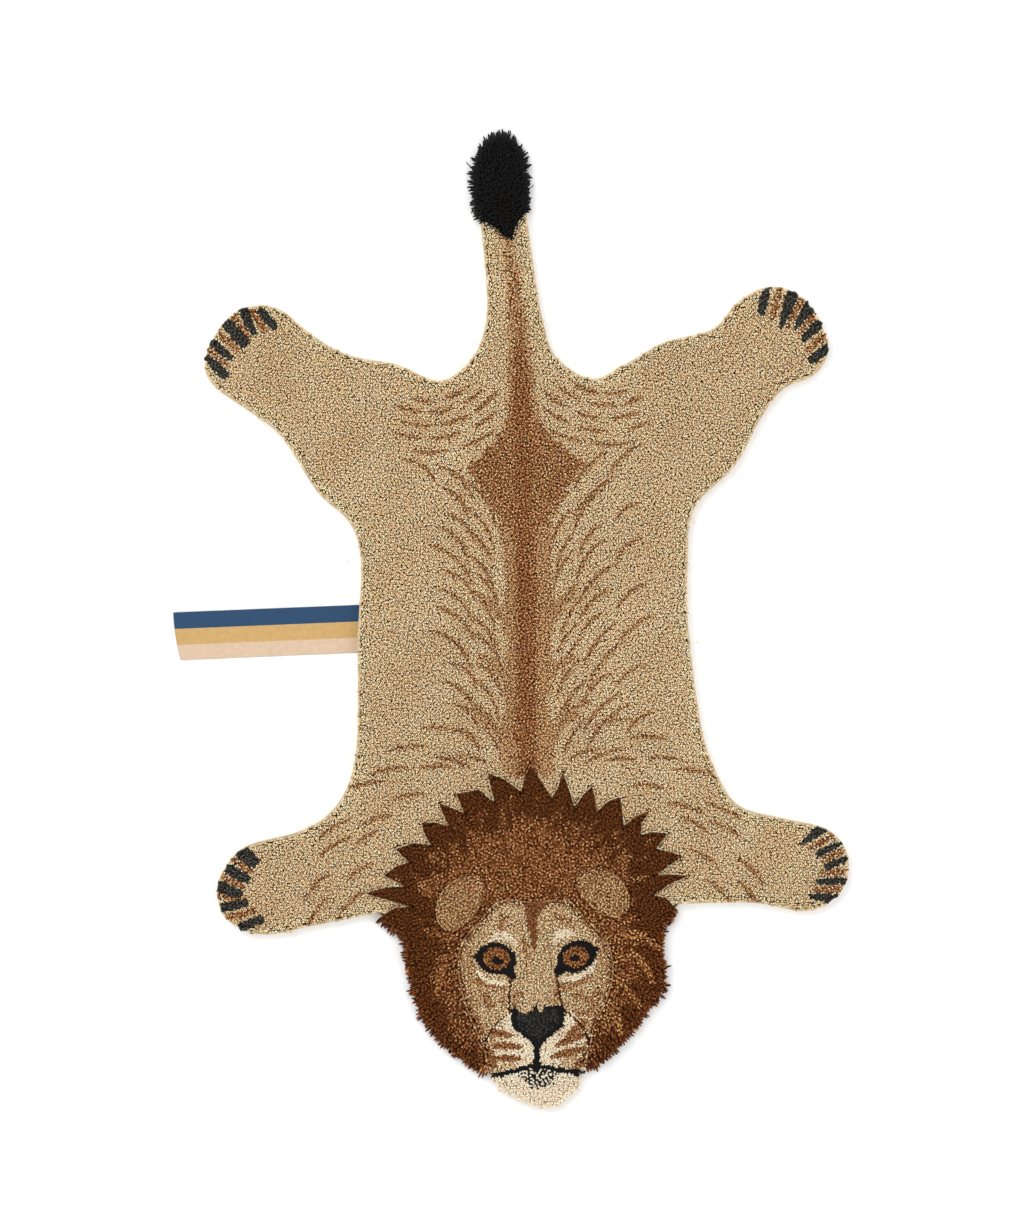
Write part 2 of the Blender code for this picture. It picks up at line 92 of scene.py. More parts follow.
# %% Floor and light
FLOOR_SIZE_M = 30.0
FLOOR_COLOUR = (0.97, 0.97, 0.97, 1)
FLOOR_ROUGHNESS = 0.9
LampSetup = namedtuple("LampSetup", "name x y z size watts")
LAMPS = [
    LampSetup("key_lamp", -1.3, 1.5, 2.8, 2.4, 47.0),
    LampSetup("fill_lamp", 2.2, -1.4, 2.6, 2.4, 22.0),
]
SKY_STRENGTH = 0.895


def new_material(name, settings):
    """Make a Principled material and set its shader's own sockets by name."""
    material = bpy.data.materials.new(name)
    material.use_nodes = True
    shader = material.node_tree.nodes["Principled BSDF"]
    for socket, value in settings.items():
        shader.inputs[socket].default_value = value
    return material


def add_floor():
    """Lay one large square under the rug."""
    half = FLOOR_SIZE_M / 2
    mesh = bpy.data.meshes.new("floor")
    corners = [(-half, -half, 0), (half, -half, 0), (half, half, 0), (-half, half, 0)]
    mesh.from_pydata(corners, [], [(0, 1, 2, 3)])
    mesh.materials.append(new_material("matt_white_floor", {
        "Base Color": FLOOR_COLOUR, "Roughness": FLOOR_ROUGHNESS}))
    floor = add_object("floor", mesh)


def add_lamp(setup):
    """Aim a square area lamp from its place at the rug's centre."""
    data = bpy.data.lights.new(setup.name, "AREA")
    data.size, data.energy = setup.size, setup.watts
    lamp = add_object(setup.name, data)
    lamp.location = (setup.x, setup.y, setup.z)
    lamp.rotation_euler = Vector(lamp.location).to_track_quat("Z", "Y").to_euler()


def set_sky():
    """Give the world an even white light."""
    world = bpy.data.worlds.new("studio")
    world.use_nodes = True
    world.node_tree.nodes["Background"].inputs["Color"].default_value = (1, 1, 1, 1)
    world.node_tree.nodes["Background"].inputs["Strength"].default_value = SKY_STRENGTH
    bpy.context.scene.world = world
    bpy.context.scene.view_settings.view_transform = "Standard"


add_floor()
for setup in LAMPS:
    add_lamp(setup)
set_sky()
print("lamps:", [setup.name for setup in LAMPS])

# %% [markdown]
# A tufting machine follows outlines drawn on the cloth. Ours come from the packed solids: a
# level cut through a solid gives short segments round it, which join into closed loops.

# %% Outlines from the solids
PILE_CUT_MM = 8.0
CLOTH_CUT_MM = 1.5
SHORTEST_SEGMENT_MM = 1e-4


def solid_triangles(node):
    """Return a packed solid's triangles as an array of triangle, corner and x, y, z in mm."""
    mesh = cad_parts[node].data
    mesh.calc_loop_triangles()
    places = np.empty(len(mesh.vertices) * 3, np.float32)
    mesh.vertices.foreach_get("co", places)
    corners = np.empty(len(mesh.loop_triangles) * 3, np.int32)
    mesh.loop_triangles.foreach_get("vertices", corners)
    return places.reshape(-1, 3)[corners.reshape(-1, 3)].astype(float) / MM


def level_cut(node, height):
    """Cut a solid at a height and return segments (segment, end, x or y), the solid on their left.

    Each straddling triangle has one corner alone on its side. Its two edges from that corner
    cross the plane at t = (height - z0) / (z1 - z0) along them.
    """
    triangles = solid_triangles(node)
    above = triangles[:, :, 2] > height
    straddles = above.any(1) & ~above.all(1)
    triangles, above = triangles[straddles], above[straddles]
    alone = np.where(above.sum(1) == 1, above.argmax(1), (~above).argmax(1))
    order = (alone[:, None] + np.arange(3)) % 3
    a, b, c = np.moveaxis(np.take_along_axis(triangles, order[:, :, None], 1), 1, 0)
    ends = []
    for other in (b, c):
        t = (height - a[:, 2]) / (other[:, 2] - a[:, 2])
        ends.append(a[:, :2] + t[:, None] * (other - a)[:, :2])
    segments = np.stack(ends, 1)
    along = segments[:, 1] - segments[:, 0]
    facing = np.cross(b - a, c - a)[:, :2]
    backwards = facing[:, 0] * along[:, 1] - facing[:, 1] * along[:, 0] < 0
    segments[backwards] = segments[backwards][:, ::-1]
    return segments[np.linalg.norm(along, axis=1) > SHORTEST_SEGMENT_MM]


def loops_of(segments):
    """Join each segment to the one that starts at its end, and return the closed loops."""
    gaps = np.linalg.norm(segments[:, None, 1] - segments[None, :, 0], axis=2)
    following = gaps.argmin(1)
    joined = np.zeros(len(segments), bool)
    loops = []
    for first in range(len(segments)):
        chain = []
        while not joined[first]:
            joined[first] = True
            chain.append(first)
            first = following[first]
        if len(chain) > 2:
            loops.append(segments[chain, 0])
    return sorted(loops, key=len, reverse=True)


cuts = {
    node: level_cut(node, CLOTH_CUT_MM if node == "base_cloth" else PILE_CUT_MM)
    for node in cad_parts
    if node != "side_ribbon"
}
for node, segments in cuts.items():
    print(node, "segments", len(segments), "loops", [len(loop) for loop in loops_of(segments)])

# %% [markdown]
# Three questions are asked of every yarn: is it inside an outline, how far is the nearest edge,
# and which way is that edge. They are answered for all yarns at once, a block at a time.

# %% Inside and nearest edge
BLOCK = 3_000_000


def blocks(points, segments):
    """Yield slices of the points that keep a point by segment table small."""
    size = max(1, BLOCK // len(segments))
    for start in range(0, len(points), size):
        yield slice(start, start + size)


def inside(points, segments):
    """Tell which points are inside: a line from one to the right crosses the outline an odd time."""
    result = np.zeros(len(points), bool)
    (ax, ay), (bx, by) = segments[:, 0].T, segments[:, 1].T
    slope = np.divide(bx - ax, by - ay, out=np.zeros(len(ax)), where=by != ay)
    for part in blocks(points, segments):
        x, y = points[part, 0, None], points[part, 1, None]
        crossed = ((ay > y) != (by > y)) & (x < ax + (y - ay) * slope)
        result[part] = crossed.sum(1) % 2 == 1
    return result


def nearest_edge(points, segments):
    """Return each point's distance to the nearest segment, and the unit way to it.

    The nearest place on a segment from a to b is a + t (b - a), with t the point's share
    along it, (p - a).(b - a) / |b - a|^2, held between 0 and 1.
    """
    distance = np.empty(len(points))
    way = np.empty((len(points), 2))
    start, along = segments[:, 0], segments[:, 1] - segments[:, 0]
    square = (along ** 2).sum(1)
    for part in blocks(points, segments):
        away = points[part, None] - start
        t = np.clip((away * along).sum(2) / square, 0.0, 1.0)
        to_edge = t[:, :, None] * along - away
        gap = (to_edge ** 2).sum(2)
        best = gap.argmin(1)
        rows = np.arange(len(best))
        distance[part] = np.sqrt(gap[rows, best])
        way[part] = to_edge[rows, best] / np.maximum(distance[part], 1e-6)[:, None]
    return distance, way


# %% [markdown]
# Yarns stand a little under 2 mm apart in staggered rows, as the speckle in the photograph shows,
# each a little off its mark. Along every outline the tufter first runs one even row, so that
# edges and the mane's points are crisp. The rest of the bed fills up behind that row.

# %% The bed of yarn places
PITCH = 1.82
ROW_STEP = PITCH * math.sin(math.radians(60))
JITTER = 0.36
EDGE_ROW_IN = {"mane": 0.5, "tail_brush": 0.5}
USUAL_ROW_IN = 0.75
EDGE_ROW_STEP = 0.86 * PITCH
EDGE_ROW_JITTER = 0.12
CROWDED_SHARE = 0.8
BED_BEHIND_ROW = 1.05
OVER_CLOTH = 0.9

rng = np.random.default_rng(SEED)


def staggered_bed():
    """Return every place of the staggered rows over the cloth's box, shifted a little at random."""
    low = cuts["base_cloth"].min((0, 1))
    high = cuts["base_cloth"].max((0, 1))
    x, y = np.meshgrid(np.arange(low[0], high[0], PITCH), np.arange(low[1], high[1], ROW_STEP))
    x[1::2] += PITCH / 2
    bed = np.column_stack([x.ravel(), y.ravel()])
    return bed + rng.uniform(-JITTER, JITTER, bed.shape)


def even_row(loop, step, inwards):
    """Return places a step apart along a closed loop, moved to its left by a distance."""
    closed = np.vstack([loop, loop[:1]])
    runs = np.linalg.norm(np.diff(closed, axis=0), axis=1)
    run = np.concatenate([[0.0], np.cumsum(runs)])
    stops = np.arange(0.0, run[-1], step)
    place = np.column_stack([np.interp(stops, run, closed[:, k]) for k in (0, 1)])
    ahead = np.roll(place, -1, axis=0) - np.roll(place, 1, axis=0)
    ahead /= np.linalg.norm(ahead, axis=1)[:, None]
    return place + inwards * np.column_stack([-ahead[:, 1], ahead[:, 0]])


def zone_roots(node, over_cloth_only=False):
    """Return the yarn places of one zone: its edge row, then the bed behind it.

    In sharp corners the edge row folds over itself. Its crowded places are dropped there.
    """
    segments = cuts[node]
    row_in = EDGE_ROW_IN.get(node, USUAL_ROW_IN)
    row = np.vstack([even_row(loop, EDGE_ROW_STEP, row_in) for loop in loops_of(segments)])
    row = row[inside(row, segments)]
    row = row[nearest_edge(row, segments)[0] > CROWDED_SHARE * row_in]
    fill = bed[inside(bed, segments)]
    fill = fill[nearest_edge(fill, segments)[0] > row_in + BED_BEHIND_ROW]
    roots = np.vstack([row + rng.uniform(-EDGE_ROW_JITTER, EDGE_ROW_JITTER, row.shape), fill])
    if over_cloth_only:
        roots = roots[inside(roots, cuts["base_cloth"])]
        roots = roots[nearest_edge(roots, cuts["base_cloth"])[0] > OVER_CLOTH]
    return roots


bed = staggered_bed()
roots = {node: zone_roots(node, node in ("mane", "tail_brush"))
         for node in ("body_pile", "mane", "face_pile", "ear_left", "ear_right", "tail_brush")}
print("yarns in each zone:", {node: len(places) for node, places in roots.items()})

# %% [markdown]
# The wool comes dyed on spools. Every colour of the rug is one spool here, named and given as
# display red, green and blue from 0 to 255. Blender adds up light, so each is made linear.

# %% Spools of dyed wool
SPOOLS = {
    "pale_tan": (248, 228, 194),
    "tan": (236, 208, 164),
    "deep_tan": (220, 184, 137),
    # Near the body's free edge this cream is a painted highlight; the chin's locks use it as one of their
    # creams.
    "edge_cream": (254, 232, 190),
    "soft_brown": (200, 154, 105),
    "stripe_brown": (168, 110, 62),
    "tick_brown": (184, 140, 96),
    "claw_charcoal": (72, 71, 64),
    "rust": (180, 122, 72),
    "mane_dark": (111, 61, 20),
    "mane_brown": (160, 104, 60),
    "mane_gold": (196, 142, 86),
    "fawn": (216, 176, 126),
    "beige": (246, 220, 180),
    "shade_beige": (206, 166, 118),
    "cream": (253, 235, 210),
    "nose_charcoal": (66, 66, 61),
    "amber": (178, 116, 64),
    "brush_black": (20, 20, 21),
}


def linear(display):
    """Turn display colours (0 to 255) into linear ones: v/12.92, or ((v + 0.055)/1.055)^2.4."""
    value = np.asarray(display, float) / 255.0
    return np.where(value <= 0.04045, value / 12.92, ((value + 0.055) / 1.055) ** 2.4)


DYES = {name: linear(display) for name, display in SPOOLS.items()}
print("spools:", len(SPOOLS))

# %% [markdown]
# Soft borders are made as a tufter makes them: near a border the yarns of two spools are mixed,
# spread evenly so that no patch of one yarn stands out. For that each yarn holds a share from 0
# to 1 that is unlike its neighbours' shares, and it is swapped where the cover is above it.

# %% Mixing spools
SHARE_TABLE_SIZE = 256
NEIGHBOURS = [(0, 1), (0, -1), (1, 0), (-1, 0), (1, -1), (-1, 1)]
LAYER_SHIFT = (37, 91)


def unlike_shares(rounds):
    """Return a square table of shares from 0 to 1, each unlike its six neighbours' shares.

    It starts as chance. In each round the neighbours' mean is taken away from every share, and
    the results are ranked, so they fill 0 to 1 evenly again.
    """
    table = rng.random((SHARE_TABLE_SIZE, SHARE_TABLE_SIZE))
    for _ in range(rounds):
        table = table - sum(np.roll(table, step, (0, 1)) for step in NEIGHBOURS) / len(NEIGHBOURS)
        table = table.ravel().argsort().argsort().reshape(table.shape) / table.size
    return table


SHARES = unlike_shares(2)


def spread(points, layer=0):
    """Return a share from 0 to 1 for each yarn, unlike its neighbours' shares.

    It is looked up in the table by the yarn's row and its place in the slanted row, and each
    layer starts at another corner of the table.
    """
    low = cuts["base_cloth"].min((0, 1))
    row = np.round((points[:, 1] - low[1]) / ROW_STEP)
    place = np.round((points[:, 0] - low[0]) / PITCH - row / 2)
    return SHARES[(row.astype(int) + LAYER_SHIFT[0] * layer) % SHARE_TABLE_SIZE,
                  (place.astype(int) + LAYER_SHIFT[1] * layer) % SHARE_TABLE_SIZE]


def all_dyed(points, spool):
    """Return one spool's dye for every yarn."""
    return np.tile(DYES[spool], (len(points), 1))


def mix_in(dyes, points, cover, spool):
    """Swap yarns for another spool's, spread evenly, as often as the cover (0 to 1) says."""
    swapped = spread(points, 1 + list(SPOOLS).index(spool)) < cover
    dyes[swapped] = DYES[spool]
    return swapped


print("shares in the table:", SHARES.size)

# %% [markdown]
# Two helpers give the covers their form. A smooth step makes a border soft. Slow noise, the sum
# of a few waves, makes clouds of tone, and shifts places a little so that drawn borders waver.

# %% Soft steps and clouds
WAVES = 10
WAVE_SUM = 4.5


def soft_step(value, low, high):
    """Rise smoothly from 0 at low to 1 at high: 3t^2 - 2t^3."""
    t = np.clip((value - low) / (high - low), 0.0, 1.0)
    return t * t * (3.0 - 2.0 * t)


def cloudy(points, size, seed):
    """Return smooth noise of about -1 to 1: the sum of ten plane waves about one size long."""
    draw = np.random.default_rng(seed)
    angle, phase = draw.uniform(0, 2 * math.pi, (2, WAVES))
    length = size * draw.uniform(0.7, 1.6, WAVES)
    ways = np.stack([np.cos(angle), np.sin(angle)]) / length
    return np.sin(2 * math.pi * points @ ways + phase).sum(1) / WAVE_SUM


def wavered(points, reach, size, seed):
    """Return the points shifted by two noises, so that borders drawn over them waver."""
    return points + reach * np.column_stack([cloudy(points, size, seed), cloudy(points, size, seed + 1)])


print("a soft step at a quarter:", float(soft_step(0.25, 0.0, 1.0)))

# %% [markdown]
# Every drawn mark is a stroke: a bowed line, thickest in its middle, from one place to another.
# In its own frame it is a parabola over its chord, so its cover has a formula and no outline
# has to be drawn by hand. Wide marks of changing width are read from short tables instead.

# %% Strokes
Stroke = namedtuple("Stroke", "x0 y0 x1 y1 bow half_width taper", defaults=(0.0,))
Row = namedtuple("Row", "y middle half_width")
NO_WIDTH = -99.0


def stroke_cover(points, stroke, softness=1.2, blunt=0.35):
    """Return a stroke's cover of each point, from 0 to 1.

    s is the share along the chord. The line lies at 4 bow s (1 - s) beside it, and its half
    width is half_width (1 + taper (1 - 2 s)) (4 s (1 - s))^blunt.
    """
    start = np.array([stroke.x0, stroke.y0])
    chord = np.array([stroke.x1, stroke.y1]) - start
    length = np.hypot(*chord)
    ahead = chord / length
    away = points - start
    s = away @ ahead / length
    hump = 4.0 * np.clip(s * (1.0 - s), 0.0, 0.25)
    beside = away @ np.array([-ahead[1], ahead[0]]) - stroke.bow * hump
    width = stroke.half_width * (1.0 + stroke.taper * (1.0 - 2.0 * s)) * hump ** blunt
    return np.where(hump > 0, 1.0 - soft_step(np.abs(beside), width - softness / 2,
                                              width + softness / 2), 0.0)


def strokes_cover(points, strokes, softness=1.2, blunt=0.35):
    """Return the cover of many strokes together: the highest one at each point."""
    cover = np.zeros(len(points))
    for stroke in strokes:
        cover = np.maximum(cover, stroke_cover(points, stroke, softness, blunt))
    return cover


def rows_cover(points, rows, softness):
    """Return the cover of a shape given by rows: its middle and half width at some heights.

    Both are read between the rows. Beyond the first and the last row there is no cover.
    """
    y, middle, half = np.array(rows, float).T
    half_here = np.interp(points[:, 1], y, half, left=NO_WIDTH, right=NO_WIDTH)
    beside = np.abs(points[:, 0] - np.interp(points[:, 1], y, middle))
    return 1.0 - soft_step(beside, half_here - softness / 2, half_here + softness / 2)


def oval_cover(points, x, y, half_x, half_y, tilt_deg=0.0, softness=0.12):
    """Return an oval's cover: 1 inside, falling to 0 where (u/a)^2 + (v/b)^2 passes 1."""
    angle = math.radians(tilt_deg)
    away = points - (x, y)
    u = away @ np.array([math.cos(angle), math.sin(angle)]) / half_x
    v = away @ np.array([-math.sin(angle), math.cos(angle)]) / half_y
    return 1.0 - soft_step(np.hypot(u, v), 1.0 - softness, 1.0 + softness)


middle_cover = stroke_cover(np.zeros((1, 2)), Stroke(-5, 0, 5, 0, 0, 2))[0]
print("a stroke covers its middle by:", float(middle_cover))

# %% [markdown]
# The back: a brown line runs along the spine from the brush to the mane, in a lighter brown
# band with hooks at its sides. Over the hips the band opens into a darker rhombus with hollow
# sides. All three are read from rows.

# %% The spine's line, band and hip rhombus
SPINE_LINE = [Row(-152, -3, 10), Row(-113, -4, 10), Row(-60, -1, 9), Row(-2, 2, 10), Row(86, 3, 10),
              Row(140, 4, 10), Row(192, 5, 9), Row(260, 5, 7), Row(300, 4, 6), Row(340, -2, 3),
              Row(356, -1, 2)]
SPINE_BAND = [Row(-152, -2, 23), Row(-113, -3, 26), Row(-85, -2, 19), Row(-58, 1, 25), Row(-30, 2, 20),
              Row(-2, 4, 26), Row(30, 5, 21), Row(86, 4, 25), Row(192, 5, 14), Row(260, 5, 10),
              Row(356, -1, 3)]
HIP_RHOMBUS = [Row(82, 3, 19), Row(96, 3, 26), Row(110, 4, 34), Row(124, 5, 43), Row(139, 6, 56),
               Row(150, 6, 42), Row(160, 6, 32), Row(172, 6, 22), Row(184, 6, 14), Row(192, 6, 9)]
HOOKS = [Stroke(26, -5, 47, 20, 3, 4.5), Stroke(21, -60, 44, -41, 3, 4.5),
         Stroke(18, -117, 47, -93, 3, 5.0), Stroke(-20, -4, -47, 23, -3, 4.5),
         Stroke(-20, -60, -45, -36, -3, 4.5), Stroke(-24, -115, -52, -94, -3, 5.0)]


def dye_spine(dyes, points):
    """Dye the band, then the rhombus, then the line, each mottled with the spool below it."""
    ragged = wavered(points, 1.5, 9.0, 3)
    band = np.maximum(rows_cover(ragged, SPINE_BAND, 5.0), strokes_cover(ragged, HOOKS, 2.5))
    rhombus = rows_cover(ragged, HIP_RHOMBUS, 6.0)
    line = rows_cover(ragged, SPINE_LINE, 8.0)
    tail = soft_step(points[:, 1], 190.0, 290.0)
    mix_in(dyes, points, band * (1.0 - 0.4 * tail), "deep_tan")
    marked = mix_in(dyes, points, band * (0.66 - 0.4 * tail), "soft_brown")
    marked |= mix_in(dyes, points, 0.95 * rhombus, "soft_brown")
    marked |= mix_in(dyes, points, 0.42 * rhombus, "stripe_brown")
    marked |= mix_in(dyes, points, line * (1.0 - 0.4 * tail), "soft_brown")
    marked |= mix_in(dyes, points, line * (0.74 - 0.42 * tail), "stripe_brown")
    return marked


print("rows of line, band and rhombus:", len(SPINE_LINE), len(SPINE_BAND), len(HIP_RHOMBUS))

# %% [markdown]
# Thin darker ticks stand for the lie of the fur. Along the trunk they fan out from the spine
# in rows, in three bands. Each starts low beside the spine, runs outwards and up towards the
# tail, and flattens at its outer end. The far band is sparse, most of all on the left flank.

# %% Ticks along the trunk
TICK_SEED = 5
TICK_HALF_WIDTH = (1.25, 1.75)
RIB_ROWS_Y = np.arange(-150.0, 92.0, 20.0)
TickBand = namedtuple("TickBand", "inner length bow")
RIB_BANDS = [TickBand(27.0, 46.0, 3.5), TickBand(50.0, 52.0, 5.0), TickBand(84.0, 42.0, 4.5)]
FAR_BAND = 2
LEFT_FAR_FROM_Y = 60.0
RIB_MIDDLE_X = 2
RIB_CLIMB = 0.42
RIB_SLOPE_DEG = 58
RIB_FLATTER_DEG = 11
LEFT_BOW = 1.6


def rib_ticks(draw, side):
    """Return the trunk's ticks of one side (+1 right, -1 left), row by row.

    A band's ticks start RIB_CLIMB times its distance above their row, and each band slopes
    RIB_FLATTER_DEG less than the one inside it. Every second row has no far tick.
    """
    ticks = []
    for row, y in enumerate(RIB_ROWS_Y):
        for band, (inner, length, bow) in enumerate(RIB_BANDS):
            if band == FAR_BAND and row % 2 == 1:
                continue
            start = inner + draw.uniform(-4, 4)
            low = y + RIB_CLIMB * inner + draw.uniform(-4, 4)
            slope = math.radians(RIB_SLOPE_DEG - RIB_FLATTER_DEG * band + draw.uniform(-6, 6))
            reach = length * draw.uniform(0.75, 1.15)
            half_width = draw.uniform(*TICK_HALF_WIDTH)
            if band == FAR_BAND and side < 0 and y < LEFT_FAR_FROM_Y:
                continue
            x0, x1 = side * start, side * (start + reach * math.cos(slope))
            ticks.append(Stroke(x0 + RIB_MIDDLE_X, low, x1 + RIB_MIDDLE_X, low + reach * math.sin(slope),
                                side * bow * (1.0 if side > 0 else LEFT_BOW), half_width))
    return ticks


tick_draw = np.random.default_rng(TICK_SEED)
ticks = rib_ticks(tick_draw, -1) + rib_ticks(tick_draw, 1)
print("ticks along the trunk:", len(ticks))

# %% [markdown]
# Over the hips the ticks run in arcs round the notch between tail and leg, and at the shoulders
# in short rays round the mane. Both are the same on the left and the right, but for chance.

# %% Ticks over hips and shoulders
ArcRow = namedtuple("ArcRow", "x y reach start_deg end_deg count")
HIP_ARCS = [ArcRow(84, 262, 58, -112, -52, 2), ArcRow(84, 262, 69, -122, -40, 3),
            ArcRow(84, 262, 81, -112, -36, 3), ArcRow(84, 262, 93, -118, -44, 3),
            ArcRow(84, 262, 106, -104, -52, 2)]
HIP_MIDDLE_X = 4
SHOULDER_RAYS = ArcRow(-3, -296, 168, 100, 171, 9)
RAY_ROWS = (0, 28)
RAY_SWING = 0.16
RAY_BOW = 2.5


def arc_ticks(draw, row):
    """Return ticks along an arc round the notch between tail and hind leg, on both sides."""
    ticks = []
    edges = np.linspace(row.start_deg, row.end_deg, row.count + 1)
    for first, last in zip(edges[:-1], edges[1:]):
        for side in (-1, 1):
            ends = np.radians([first + draw.uniform(0, 5), last - draw.uniform(1, 6)])
            x = side * (row.x - row.reach * np.cos(ends))
            y = row.y + row.reach * np.sin(ends)
            bow = row.reach * (1 - math.cos((ends[1] - ends[0]) / 2))
            ticks.append(Stroke(x[0] + HIP_MIDDLE_X, y[0], x[1] + HIP_MIDDLE_X, y[1], side * bow,
                                draw.uniform(*TICK_HALF_WIDTH)))
    return ticks


def shoulder_ticks(draw, row):
    """Return ticks that lie round the mane outside its points: rays that swing round a little."""
    ticks = []
    for bearing in np.linspace(row.start_deg, row.end_deg, row.count):
        for extra in RAY_ROWS:
            angle = math.radians(bearing + draw.uniform(-4, 4))
            near = row.reach + extra + draw.uniform(-6, 6)
            far = near + draw.uniform(14, 26)
            reach, angles = np.array([near, far]), np.array([angle, angle + RAY_SWING])
            for side in (-1, 1):
                x = row.x - side * reach * np.cos(angles)
                y = row.y + reach * np.sin(angles)
                ticks.append(Stroke(x[0], y[0], x[1], y[1], side * RAY_BOW,
                                    draw.uniform(*TICK_HALF_WIDTH)))
    return ticks


for row in HIP_ARCS:
    ticks += arc_ticks(tick_draw, row)
ticks += shoulder_ticks(tick_draw, SHOULDER_RAYS)
print("fur ticks:", len(ticks))

# %% [markdown]
# Each paw has five charcoal claws. They are blunt strokes that start at the paw's edge, some of
# them narrower inwards, and a thin rust streak lies halfway between each two.

# %% Claws
CLAWS = {
    "hind_left": [(-290, 256, -270, 234), (-287, 272, -265, 251), (-272, 290, -250, 262),
                  (-253, 298, -242, 272), (-237, 296, -222, 277)],
    "hind_right": [(240, 299, 232, 272), (264, 295, 250, 258), (282, 283, 263, 257),
                   (294, 268, 270, 246), (299, 242, 276, 226)],
    "fore_left": [(-279, -207, -260, -224), (-292, -224, -268, -238), (-300, -240, -275, -252),
                  (-298, -263, -270, -258), (-285, -283, -256, -274)],
    "fore_right": [(249, -225, 274, -209), (263, -236, 288, -225), (270, -248, 292, -240),
                   (262, -261, 291, -261), (255, -274, 283, -277)],
}
CLAW_HALF_WIDTHS = {"hind_left": (4.3, 4.0, 5.8, 4.3, 3.9), "hind_right": (4.0, 5.0, 4.6, 4.3, 4.3),
                    "fore_left": (6.6, 4.8, 5.0, 4.5, 4.1), "fore_right": (3.9, 3.3, 3.2, 3.4, 3.7)}
CLAW_TAPERS = {"hind_left": (-0.35, 0.0, -0.1, 0.25, -0.1), "hind_right": (-0.15, 0.5, 0.55, 0.2, 0.0),
               "fore_left": (0.0, 0.0, 0.1, 0.1, -0.1), "fore_right": (-0.45, 0.3, 0.2, 0.0, -0.2)}
STREAK_HALF_WIDTH = 3.2


def claw_strokes():
    """Return the claws' strokes and, halfway between neighbours, the rust streaks."""
    claws, streaks = [], []
    for paw, rows in CLAWS.items():
        rows = np.array(rows, float)
        claws += [Stroke(*row, 0.0, half, taper)
                  for row, half, taper in zip(rows, CLAW_HALF_WIDTHS[paw], CLAW_TAPERS[paw])]
        streaks += [Stroke(*row, 0.0, STREAK_HALF_WIDTH) for row in (rows[1:] + rows[:-1]) / 2]
    return claws, streaks


claws, streaks = claw_strokes()
print("claws:", len(claws), "streaks:", len(streaks))

# %% [markdown]
# Now the body is dyed. Three tans are mixed all over, which gives the heathered look, and the
# marks are laid over them from the lightest to the darkest. Towards the cloth's free edge more
# yarns are pale cream: a painted highlight, as wool that spreads out catches more light. The
# outermost ones are darkened by a painted shade, as they show their sides, which catch less
# light than the open ends. Each yarn's group becomes one piece.

# %% Dye the body
BODY_GROUPS = ("pale_tan_tufts", "tan_tufts", "deep_tan_tufts", "brown_mark_tufts", "claw_tufts",
               "free_edge_tufts")
MARKED, CLAWED, AT_EDGE = 3, 4, 5
TAN_LIMITS = (0.34, 0.67)
TICK_FRINGE = 1.3
FREE_EDGE_MM = 3.3
EDGE_SHADE = 0.80


def dye_body(points):
    """Return each body yarn's dye, with painted highlight and shade near the free edge, its group's number,
    and how deep it is in a tick.
    """
    shade = spread(points) + 0.10 * cloudy(points, 70.0, 8)
    group = np.digitize(shade, TAN_LIMITS)
    dyes = np.stack([DYES[name] for name in ("pale_tan", "tan", "deep_tan")])[group]
    ragged = wavered(points, 0.5, 5.0, 21)
    in_tick = strokes_cover(ragged, ticks, 1.6, 0.5)
    to_edge = nearest_edge(points, cuts["base_cloth"])[0]
    # Painted highlight: more pale cream yarns towards the free edge, for the light that spreading wool
    # catches.
    mix_in(dyes, points, 0.55 * (1.0 - soft_step(to_edge, 4.0, 14.0)), "edge_cream")
    broad_ticks = [tick._replace(half_width=tick.half_width + TICK_FRINGE) for tick in ticks]
    broad = strokes_cover(ragged, broad_ticks, 3.0, 0.5)
    mix_in(dyes, points, 0.55 * broad, "deep_tan")
    marked = mix_in(dyes, points, 0.36 * broad, "soft_brown")
    marked |= mix_in(dyes, points, 0.85 * in_tick, "tick_brown")
    marked |= dye_spine(dyes, points)
    marked |= mix_in(dyes, points, 0.75 * strokes_cover(ragged, streaks, 2.0), "rust")
    clawed = mix_in(dyes, points, strokes_cover(ragged, claws, 0.8, 0.22), "claw_charcoal")
    group[marked] = MARKED
    group[clawed] = CLAWED
    group[to_edge < FREE_EDGE_MM] = AT_EDGE
    # Painted shade: the outermost yarns are darkened, as they show their sides, which catch less light than
    # the open ends.
    dyes[group == AT_EDGE] *= EDGE_SHADE
    return dyes, group, in_tick


body_dyes, body_group, in_tick = dye_body(roots["body_pile"])
print("yarns by group:", dict(zip(BODY_GROUPS, np.bincount(body_group).tolist())))

# %% [markdown]
# The face is drawn with the same strokes, rows and ovals, each placed by its own measures:
# brows and rims in cream, dark rings with amber inside for the eyes, a broad nose with a
# notch in its upper edge, a mouth line, and brown whisker marks on two paler pads.

